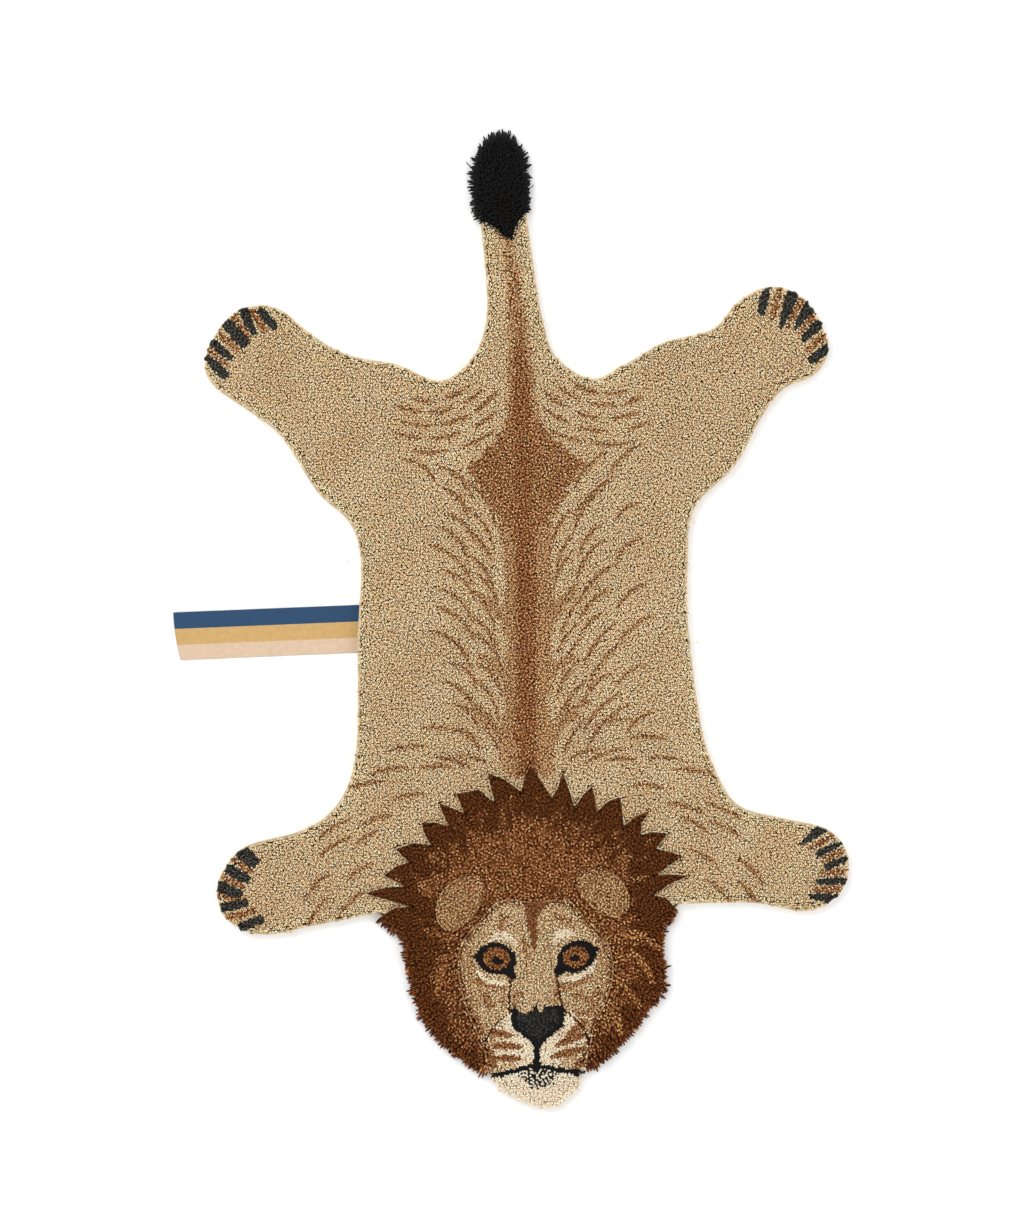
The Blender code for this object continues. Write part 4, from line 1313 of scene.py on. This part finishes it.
def pile_piece(name, node, chosen, dyes, shorn, cut, material, slot):
    """Make one piece of cut pile from the chosen yarns of a zone, each turned its own way."""
    points = roots[node][chosen]
    paths = upright_paths(node, points, shorn[chosen], cut.shares)
    turns = rng.uniform(0, 2 * math.pi, len(paths))
    mesh = strand_mesh(name, paths, cut.radii, turns, dyes[chosen], cut.shares)
    return add_piece(name, mesh, material, slot, node)


shorn = TICK_DEPTH * in_tick
for number, name in enumerate(BODY_GROUPS):
    wool = wools[{MARKED: "marks", CLAWED: "marks", AT_EDGE: "edge"}.get(number, "body_pile")]
    pile_piece(name, "body_pile", body_group == number, body_dyes, shorn,
                             EDGE_CUT if number == AT_EDGE else BED_CUT, wool, "body_pile")

shorn = GROOVE_DEPTH * strokes_cover(roots["face_pile"], CARVED_LINES, 1.2, 0.05)
is_cream = (face_dyes == DYES["cream"]).all(1)
pile_piece("face_tufts", "face_pile", ~is_cream, face_dyes, shorn, BED_CUT,
                         wools["face_pile"], "face_pile")
pile_piece("cream_tufts", "face_pile", is_cream, face_dyes, shorn, CREAM_CUT,
                         wools["cream"], "face_pile")
for node in ("ear_left", "ear_right"):
    everywhere = np.ones(len(roots[node]), bool)
    pile_piece(node + "_tufts", node, everywhere, ear_dyes[node], 0.0 * everywhere,
                             BED_CUT, wools["ears"], "ears")

# %% [markdown]
# Shag: the yarns of mane and brush are longer and bend. A yarn's path leans outwards with a
# power of its rise, so it leaves the cloth upright and lies over at its tip. Over the crown the
# mane is short and upright, and its points are crisp. On the cheeks it hangs in combed locks.

# %% Paths of mane and brush
SHAG_CUT = Cut(np.array([0.0, 0.45, 0.85, 1.0]), np.array([[0.98, 1.08]]))
BRUSH_CUT = Cut(np.array([0.0, 0.4, 0.8, 1.0]), np.array([[0.95, 0.85]]))
SHAG_POWER = 1.7
LOCK_WIDTH = 6.5
COMB_WAVE, COMB_WAVE_SIZE = 3.0, 16.0
BRUSH_CENTRE = np.array([-5.0, 384.0])
BRUSH_REACH = 3.2


def combed(points, leans, lock_width, pull, seed):
    """Draw tips sideways into locks, towards the nearest of the rays a lock's width apart.

    The rays start at the head's centre. Smooth noise bends them, so the locks are wavy. Returned
    are the new leans, and how far beside its ray each yarn is, as a share of the lock's width.
    """
    away = points + leans - HEAD_CENTRE
    reach = np.hypot(*away.T)
    arc = np.arctan2(away[:, 1], -away[:, 0]) * STREAK_ARC_MM
    arc = arc + COMB_WAVE * cloudy(points, COMB_WAVE_SIZE, seed)
    beside = arc - lock_width * np.round(arc / lock_width)
    across = np.column_stack([away[:, 1], -away[:, 0]]) / reach[:, None]
    return leans - (pull * beside * reach / STREAK_ARC_MM)[:, None] * across, beside / lock_width


def away_from(points, centre):
    """Return the unit ways from a centre to the points."""
    away = points - centre
    return away / np.linalg.norm(away, axis=1)[:, None]


def mane_paths():
    """Return the mane's paths: upright over the crown, combed outwards and down on the cheeks."""
    points = roots["mane"]
    tips, leans = tips_and_leans("mane", points)
    loose = 1.0 - soft_step(points[:, 1], -306.0, -262.0)
    flow = away_from(points, HEAD_CENTRE) + (0.0, -0.35)
    off_face = soft_step(nearest_edge(points, cuts["face_pile"])[0], 1.0, 14.0)
    leans = leans + flow * ((0.2 + 2.3 * loose) * off_face)[:, None]
    leans, beside = combed(points, leans, LOCK_WIDTH, 0.02 + 0.16 * loose, 71)
    leans = leans + rng.normal(0, 0.3, points.shape)
    tips = tips + 0.35 * loose * np.cos(2 * math.pi * beside)
    return leaning_paths(points, leans, tips, SHAG_CUT.shares, SHAG_POWER)


def brush_paths():
    """Return the brush's paths: they lean away from its middle, with much sway."""
    points = roots["tail_brush"]
    tips, leans = tips_and_leans("tail_brush", points)
    reach = np.minimum(BRUSH_REACH, 0.22 * np.linalg.norm(points - BRUSH_CENTRE, axis=1))
    leans = leans + reach[:, None] * away_from(points, BRUSH_CENTRE) + rng.normal(0, 1.0, points.shape)
    tips = tips + rng.normal(0, 0.7, len(tips))
    return leaning_paths(points, leans, tips, BRUSH_CUT.shares, SHAG_POWER)


print("shag zones:", {"mane": len(roots["mane"]), "tail_brush": len(roots["tail_brush"])})

# %% [markdown]
# The shag's yarns are made up like the cut pile's. The mane becomes two pieces, one of its dark
# yarns and one of its brown ones. Yarns in the edge row are a little thinner, which keeps the
# flame points sharp.

# %% Shag pieces


def shag_piece(name, node, chosen, paths, dyes, cut, material):
    """Make one piece of shag from the chosen yarns of a zone."""
    turns = rng.uniform(0, 2 * math.pi, int(chosen.sum()))
    to_seam = nearest_edge(roots[node][chosen], cuts[node])[0]
    radii = cut.radii * (0.82 + 0.18 * soft_step(to_seam, 0.5, 2.5))[:, None]
    mesh = strand_mesh(name, paths[chosen], radii, turns, dyes[chosen], cut.shares)
    return add_piece(name, mesh, material, node, node)


paths = mane_paths()
for name, chosen in (("mane_dark_tufts", ~mane_is_brown), ("mane_brown_tufts", mane_is_brown)):
    shag_piece(name, "mane", chosen, paths, mane_dyes, SHAG_CUT, wools["mane"])
paths = brush_paths()
shag_piece("brush_tufts", "tail_brush", np.ones(len(paths), bool), paths,
                         all_dyed(paths, "brush_black"), BRUSH_CUT, wools["tail_brush"])

# %% [markdown]
# Round the free rim of mane, chin and brush, longer locks hang over the cloth's edge. They are
# rooted along the base cloth's own outline in rows. A lock's path starts upright, arches out and
# droops: z = z0 + lift 4 s (1 - s) + (z1 - z0) s. Yarns near each other lean together and get
# shorter away from their lock's middle, so the rim ends in ragged points. Near the brush's tip
# they lean to one place, the apex, so the brush runs out in a point.

# %% Rim locks
LockRow = namedtuple("LockRow", "inwards step reach tip_height lift")
LockZone = namedtuple("LockZone", "name node rows spools lock_width material slot apex")
APEX_PULL = 0.60
APEX_REACH_MM = 48.0
LOCK_SEED, LOCK_SEED_STEP = 90, 20
LOCK_REACHES = (0.62, 1.22)
LOCK_POWER = 1.25
LOCK_SHARES = np.array([0.0, 0.25, 0.60, 0.88, 1.0])
LOCK_RADII = np.array([[1.0, 1.1, 0.75]])
LONG_ROWS = [LockRow(1.2, 1.7, 9.0, 2.6, 5.0), LockRow(2.6, 1.8, 8.4, 5.5, 6.5),
             LockRow(4.2, 1.9, 8.0, 8.5, 7.0)]
SHORT_ROWS = [LockRow(0.9, 1.5, 4.6, 3.0, 4.0), LockRow(2.2, 1.6, 4.4, 6.0, 5.0)]


def rim_paths(node, row, lock_width, apex, seed):
    """Return one row of locks along the base cloth's outline, where it borders the zone.

    Locks near the apex, where there is one, lean towards it and end in one point.
    """
    draw = np.random.default_rng(seed)
    places = even_row(loops_of(cuts["base_cloth"])[0], row.step, row.inwards)
    run = row.step * np.arange(len(places)) + 3.0 * cloudy(places, 24.0, seed // 10)
    number = np.round(run / lock_width).astype(int)
    beside = run / lock_width - number
    lock_reach = draw.uniform(*LOCK_REACHES, number.max() + 2)
    gap, way = nearest_edge(places, cuts["base_cloth"])
    near = inside(places, cuts[node]) & (gap > 0.6 * row.inwards)
    reach = row.reach * lock_reach[number] * (1.0 - 1.3 * beside ** 2)
    reach *= 1.0 + draw.uniform(-0.18, 0.22, len(places))
    across = np.column_stack([-way[:, 1], way[:, 0]])
    sway = lock_width * 0.5 * beside + draw.normal(0, 0.8, len(places))
    sway += 1.6 * cloudy(places, 15.0, seed // 10 + 1)
    lean = way * reach[:, None] + across * sway[:, None]
    if apex is not None:
        to_apex = np.array(apex) - places
        pull = APEX_PULL * (1.0 - soft_step(np.hypot(*to_apex.T), 0.0, APEX_REACH_MM))
        lean += pull[:, None] * to_apex
    lean = lean[near]
    s = LOCK_SHARES
    plan = places[near][:, None] + lean[:, None] * (s ** LOCK_POWER)[None, :, None]
    end = row.tip_height + draw.uniform(-1.0, 1.0, len(lean))
    height = CLOTH_TOP + 4.0 * row.lift * s * (1.0 - s) + (end - CLOTH_TOP)[:, None] * s
    turns = np.arctan2(lean[:, 1], lean[:, 0]) + math.pi / 2
    return np.concatenate([plan, height[:, :, None]], 2), turns


def lock_piece(zone, seed):
    """Make the rim locks of one zone, dyed with a random mix of its spools."""
    made = [rim_paths(zone.node, row, zone.lock_width, zone.apex, seed + k)
            for k, row in enumerate(zone.rows)]
    paths = np.concatenate([paths for paths, _ in made])
    turns = np.concatenate([turns for _, turns in made])
    picked = np.random.default_rng(seed).integers(0, len(zone.spools), len(paths))
    dyes = np.stack([DYES[spool] for spool in zone.spools])[picked]
    mesh = strand_mesh(zone.name, paths, LOCK_RADII, turns, dyes, LOCK_SHARES)
    return add_piece(zone.name, mesh, wools[zone.material], zone.slot, zone.node)


LOCK_ZONES = [
    LockZone("mane_rim_locks", "mane", LONG_ROWS, ("mane_dark", "mane_dark", "mane_dark", "mane_brown"),
             7.0, "mane", "mane", None),
    LockZone("chin_rim_locks", "face_pile", SHORT_ROWS, ("cream", "cream", "edge_cream"),
             5.0, "cream", "face_pile", None),
    LockZone("brush_rim_locks", "tail_brush", LONG_ROWS, ("brush_black",), 5.5, "tail_brush",
             "tail_brush", (-4.0, 452.0)),
]
for k, zone in enumerate(LOCK_ZONES):
    lock_piece(zone, LOCK_SEED + LOCK_SEED_STEP * k)

# %% [markdown]
# A handmade rug keeps a few stray yarn ends: black ones round the brush and thin tan ones at the
# edge. Each is a thin strand along an arc in plan, and it sinks from the pile towards the floor.

# %% Stray yarn ends
STRAY_SHARES = np.linspace(0.0, 1.0, 8)
STRAY_START, STRAY_FALL, STRAY_ARCH = 9.0, 6.0, 3.0
STRAYS = {
    "stray_black_ends": ("tail_brush", 0.55, [
        Stroke(-2, 444, 4, 457, -3.5, 0), Stroke(-8, 443, -13, 455, 2.5, 0),
        Stroke(-28, 420, -38, 428, 2, 0), Stroke(14, 398, 25, 404, -2, 0),
        Stroke(-27, 386, -35, 378, -2, 0)]),
    "stray_tan_ends": ("body_pile", 0.4, [
        Stroke(156, 84, 162, 78, 3, 0), Stroke(288, -247, 294, -252, -2, 0),
        Stroke(-163, 60, -167, 55, 2, 0), Stroke(160, -30, 164, -33, -2, 0)]),
}


def stray_paths(strokes):
    """Return arcs that start in the pile and come to lie beside the rug.

    With s the share along an arc, its height is start - fall s + arch sin(pi s).
    """
    rows = np.array(strokes, float)
    start, chord, bow = rows[:, None, :2], rows[:, None, 2:4] - rows[:, None, :2], rows[:, 4]
    s = STRAY_SHARES[None, :, None]
    across = np.stack([-chord[..., 1], chord[..., 0]], -1) / np.linalg.norm(chord, axis=2, keepdims=True)
    plan = start + s * chord + 4.0 * (s * (1.0 - s)) * bow[:, None, None] * across
    height = STRAY_START - STRAY_FALL * s + STRAY_ARCH * np.sin(math.pi * s)
    return np.concatenate([plan, np.broadcast_to(height, plan[..., :1].shape)], 2)


for name, (zone, radius, strokes) in STRAYS.items():
    spool = "brush_black" if zone == "tail_brush" else "pale_tan"
    radii = np.full((1, len(STRAY_SHARES) - 2), radius)
    mesh = strand_mesh(name, stray_paths(strokes), radii, np.zeros(len(strokes)),
                       all_dyed(strokes, spool), 0.7 + 0.3 * STRAY_SHARES)
    add_piece(name, mesh, wools[zone], zone, zone)

# %% [markdown]
# Under all yarns lies the base cloth: cotton in plain weave, 3 mm thick with its latex. Its rim
# is a small rounded profile carried along the outline, and its faces are filled with even
# triangles. Underneath, it lifts a little where the ribbon's root passes. Between the yarns the
# cloth's top is painted dark brown: a painted shade for the deep gaps between the yarns.

# %% The base cloth's mesh
RIM_PROFILE = [(0.9, 0.0), (0.25, 0.3), (0.0, 1.0), (0.0, 2.0), (0.25, 2.7), (0.9, 3.0), (2.0, 3.0)]
CLOTH_STEP = 4.0
FILL_STEP = 12.0
FILL_MERGE_MM = 1e-6
RIBBON_ROOT = (-142.0, -6.5)
RIBBON_HALF_WIDTH = 22.5
RIBBON_LIFT = 1.3


def filled_outline(loop, step):
    """Fill a closed outline with even triangles: its own points and a staggered bed inside."""
    low, high = loop.min(0), loop.max(0)
    x, y = np.meshgrid(np.arange(low[0], high[0], step), np.arange(low[1], high[1], 0.87 * step))
    x[1::2] += step / 2
    spots = np.column_stack([x.ravel(), y.ravel()])
    edges = np.stack([loop, np.roll(loop, -1, axis=0)], 1)
    spots = spots[inside(spots, edges)]
    spots = spots[nearest_edge(spots, edges)[0] > 0.5 * step]
    places = [Vector(place) for place in np.vstack([loop, spots])]
    ring = list(range(len(loop)))
    filled = delaunay_2d_cdt(places, list(zip(ring, ring[1:] + ring[:1])), [ring], 1, FILL_MERGE_MM)
    return np.array([tuple(place) for place in filled[0]]), [list(face) for face in filled[2]]


def faces_between_rings(rings, count):
    """Return the four sided faces that join each closed ring of points to the next one."""
    low, k = np.meshgrid(np.arange(rings - 1) * count, np.arange(count), indexing="ij")
    ahead = (k + 1) % count
    faces = np.stack([low + k, low + ahead, low + count + ahead, low + count + k], -1)
    return faces.reshape(-1, 4).tolist()


def cloth_mesh():
    """Return the cloth's points, its faces, and the first point that lies among the yarns.

    The rings of the rim come first, then the points that fill the bottom and the top.
    """
    rings = [even_row(loops_of(cuts["base_cloth"])[0], CLOTH_STEP, inwards)
             for inwards, _ in RIM_PROFILE]
    count = len(rings[0])
    points = [np.column_stack([ring, np.full(count, height)])
              for ring, (_, height) in zip(rings, RIM_PROFILE)]
    faces = faces_between_rings(len(rings), count)
    offset = count * len(rings)
    for ring_number, order in ((0, -1), (len(rings) - 1, 1)):
        fill, triangles = filled_outline(rings[ring_number], FILL_STEP)
        new = len(fill) - count
        numbers = np.concatenate([ring_number * count + np.arange(count), offset + np.arange(new)])
        points.append(np.column_stack([fill[count:], np.full(new, RIM_PROFILE[ring_number][1])]))
        faces += [numbers[face][::order].tolist() for face in triangles]
        offset += new
    return np.vstack(points), faces, (len(rings) - 1) * count


def lift_for_ribbon(points):
    """Lift the underside where the ribbon's root lies, with soft slopes round it."""
    x, y, z = points.T
    over = (1 - soft_step(x, RIBBON_ROOT[0] + 1.0, RIBBON_ROOT[0] + 8.0)) * (
        1 - soft_step(np.abs(y - RIBBON_ROOT[1]), RIBBON_HALF_WIDTH + 1, RIBBON_HALF_WIDTH + 8))
    points[:, 2] = np.maximum(z, RIBBON_LIFT * over)
    return points


cloth_points, cloth_faces, first_in_wool = cloth_mesh()
cloth_data = bpy.data.meshes.new("woven_base_cloth")
cloth_data.from_pydata((lift_for_ribbon(cloth_points) * MM).tolist(), [], cloth_faces)
cloth_data.validate()
cloth_data.update()
on_top = cloth_points[:, 2] > CLOTH_TOP - 0.1
# Mark the cloth's top among the yarns, where the painted shade goes.
add_values(cloth_data, "in_gap_shade", "FLOAT", on_top & (np.arange(len(cloth_points)) >= first_in_wool))
print("base cloth points and faces:", len(cloth_points), len(cloth_faces))

# %% [markdown]
# Plain weave is a checkerboard of threads that pass over each other. With u and v counted in
# threads, warp is |sin pi u|, weft is |sin pi v|, and each square of the board shows one.
# The same group gives the canvas its coarse threads and the ribbon its fine ones.

# %% A shared group for plain weave
SLUB_SCALE = 220.0


def weave_group():
    """Build the group: a thread height over the cloth, and a colour with painted shade between threads."""
    group = new_group("plain_weave", [
        ("Color", "NodeSocketColor", (0.5, 0.5, 0.5, 1)), ("Place", "NodeSocketVector", None),
        ("Threads", "NodeSocketFloat", 800.0), ("Depth", "NodeSocketFloat", 0.0002),
        ("Contrast", "NodeSocketFloat", 0.4),
    ], GROUP_OUTPUTS)
    wires = Wiring(group)
    given = wires.node("NodeGroupInput").outputs
    counted = wires.scaled(given["Place"], given["Threads"])
    parts = wires.node("ShaderNodeSeparateXYZ", {0: counted}).outputs
    round_thread = [wires.math("ABSOLUTE", wires.math("SINE", wires.math("MULTIPLY", part, math.pi)))
                    for part in (parts[0], parts[1])]
    board = wires.math("ADD", wires.math("FLOOR", parts[0]), wires.math("FLOOR", parts[1]))
    odd = wires.math("PINGPONG", board, 1.0)
    warp = wires.math("MULTIPLY", round_thread[0], odd)
    height = wires.math("MULTIPLY_ADD", round_thread[1], wires.math("SUBTRACT", 1.0, odd), warp)
    slub = wires.noise(given["Place"], SLUB_SCALE, 3.0)
    # Painted shade: the colour darkens where a thread dips.
    tone = wires.math("MULTIPLY_ADD", wires.math("SUBTRACT", height, 0.7), given["Contrast"], 1.0)
    tone = wires.math("MULTIPLY", tone, wires.math("MULTIPLY_ADD", slub, 0.3, 1.0))
    rough = wires.math("MULTIPLY_ADD", slub, 0.2, 0.8)
    bump = wires.node("ShaderNodeBump", {"Height": height, "Strength": 0.8, "Distance": given["Depth"]})
    wires.node("NodeGroupOutput", {"Color": wires.scaled(given["Color"], tone), "Roughness": rough,
                                   "Normal": bump.outputs[0]})
    return group


WEAVE = weave_group()
print("weave group nodes:", len(WEAVE.nodes))

# %% [markdown]
# The canvas is a pale cotton of 900 threads to the metre. Each point of the cloth knows whether
# it lies among the yarns, and there the canvas is painted dark brown as painted shade.

# %% The base cloth
CANVAS_COLOUR = (*linear((226, 214, 190)), 1)
# Painted shade: the dark brown seen down in the gaps between the yarns.
GAP_SHADE_COLOUR = (*linear((120, 82, 46)), 1)
CLOTH_SHINE = 0.2


def canvas_material():
    """Make the cotton canvas, with a painted shade of dark brown where its own value says it lies among the
    yarns.
    """
    material = new_material("cotton_canvas", {"Specular IOR Level": CLOTH_SHINE})
    wires = Wiring(material.node_tree)
    in_gap_shade = wires.node("ShaderNodeAttribute", attribute_name="in_gap_shade").outputs["Fac"]
    wires.feed_shader(WEAVE, {
        "Color": wires.blend(in_gap_shade, CANVAS_COLOUR, GAP_SHADE_COLOUR),
        "Place": wires.node("ShaderNodeTexCoord").outputs["Object"],
        "Threads": 900.0, "Depth": 0.0003, "Contrast": 0.45})
    return material


canvas = canvas_material()
base_cloth = add_piece("woven_base_cloth", cloth_data, canvas, "base_cloth", "base_cloth")

# %% [markdown]
# The ribbon is woven in three plain bands: navy, ochre and peach. It is a strip laid from under
# the rug's edge, with a soft ripple, one slight crease and a lifted corner at its free end. Both
# of its faces are one closed grid over u, the share of its length, and v, that of its width.

# %% The side ribbon
RIBBON_LENGTH = 188.0
RIBBON_GRID = (95, 24)
RIBBON_THICK = 0.8
BAND_EDGES = (0.315, 0.652)
BAND_COLOURS = {"peach": (214, 187, 160), "ochre": (200, 163, 106), "navy": (42, 72, 104)}


def ribbon_surface(u, v):
    """Return the ribbon's middle surface, u from the rug outwards and v from peach to navy.

    Its height is 0.5 mm at the root. Past the rug's edge it adds 0.75 mm, a ripple of two sines,
    a narrow crease at u = 0.80, and a lift of the corner where u and v are both 1.
    """
    free = soft_step(u, 0.09, 0.3)
    ripple = 0.35 * np.sin(2.0 * math.pi * (2.3 * u + 0.15 * v)) + 0.25 * np.sin(9.0 * u + 2.0 * v)
    crease = 0.9 * np.exp(-((u - 0.80) / 0.02) ** 2)
    curl = 1.6 * soft_step(u, 0.93, 1.0) * v
    height = 0.5 + free * (0.75 + ripple + crease + curl)
    x = RIBBON_ROOT[0] - RIBBON_LENGTH * u + 5.0 * free * u * (1.0 - v) ** 2 * soft_step(u, 0.9, 1.0)
    y = RIBBON_ROOT[1] + RIBBON_HALF_WIDTH * (2.0 * v - 1.0)
    return np.stack([x, y, height], -1)


def ribbon_mesh():
    """Build the two faces of the strip a thickness apart and close them with a rounded edge."""
    along, across = RIBBON_GRID
    turn = np.linspace(0.0, 2.0 * math.pi, 2 * across, endpoint=False)
    v = 0.5 - 0.5 * np.cos(turn)
    u, v = np.meshgrid(np.linspace(0.0, 1.0, along), v, indexing="ij")
    side = np.clip(3.0 * np.sin(turn), -1.0, 1.0)[None]
    points = ribbon_surface(u, v)
    points[:, :, 2] += side * RIBBON_THICK / 2
    ring = 2 * across
    faces = faces_between_rings(along, ring)
    k = np.arange(1, across)
    for end, order in ((0, 1), (along - 1, -1)):
        upper, lower = end * ring + k, end * ring + (ring - k)
        first, last = end * ring, end * ring + across
        strip = [[first, upper[0], lower[0]]]
        strip += [[upper[j], upper[j + 1], lower[j + 1], lower[j]] for j in range(len(k) - 1)]
        strip += [[upper[-1], last, lower[-1]]]
        faces += [face[::-order] for face in strip]
    mesh = bpy.data.meshes.new("banded_side_ribbon")
    mesh.from_pydata((points.reshape(-1, 3) * MM).tolist(), [], faces)
    place = np.stack([u * RIBBON_LENGTH, v * RIBBON_HALF_WIDTH * 2, np.zeros_like(u)], -1) * MM
    add_values(mesh, "strip_place", "FLOAT_VECTOR", place.reshape(-1, 3))
    mesh.validate()
    mesh.update()
    mesh.shade_smooth()
    return mesh


ribbon_data = ribbon_mesh()
print("ribbon faces:", len(ribbon_data.polygons))

# %% [markdown]
# The bands follow the strip itself: its own place across the width is compared with the two
# band edges. The threads are fine, and the cloth has the soft shine of woven satin ribbon.

# %% The ribbon's material
RIBBON_SHEEN = 0.15


def ribbon_material():
    """Make the banded weave: peach, then ochre past the first edge, then navy past the second."""
    material = new_material("banded_ribbon_weave", {
        "Specular IOR Level": CLOTH_SHINE, "Sheen Weight": RIBBON_SHEEN})
    wires = Wiring(material.node_tree)
    place = wires.node("ShaderNodeAttribute", attribute_name="strip_place").outputs["Vector"]
    across = wires.node("ShaderNodeSeparateXYZ", {0: place}).outputs[1]
    colour = (*linear(BAND_COLOURS["peach"]), 1)
    for edge, band in zip(BAND_EDGES, ("ochre", "navy")):
        past = wires.math("GREATER_THAN", across, edge * 2 * RIBBON_HALF_WIDTH * MM)
        colour = wires.blend(past, colour, (*linear(BAND_COLOURS[band]), 1))
    wires.feed_shader(WEAVE, {"Color": colour, "Place": place, "Threads": 2600.0, "Depth": 0.00008,
                              "Contrast": 0.2})
    return material


ribbon = add_piece("banded_side_ribbon", ribbon_data, ribbon_material(), "side_ribbon", "side_ribbon")

# %% [markdown]
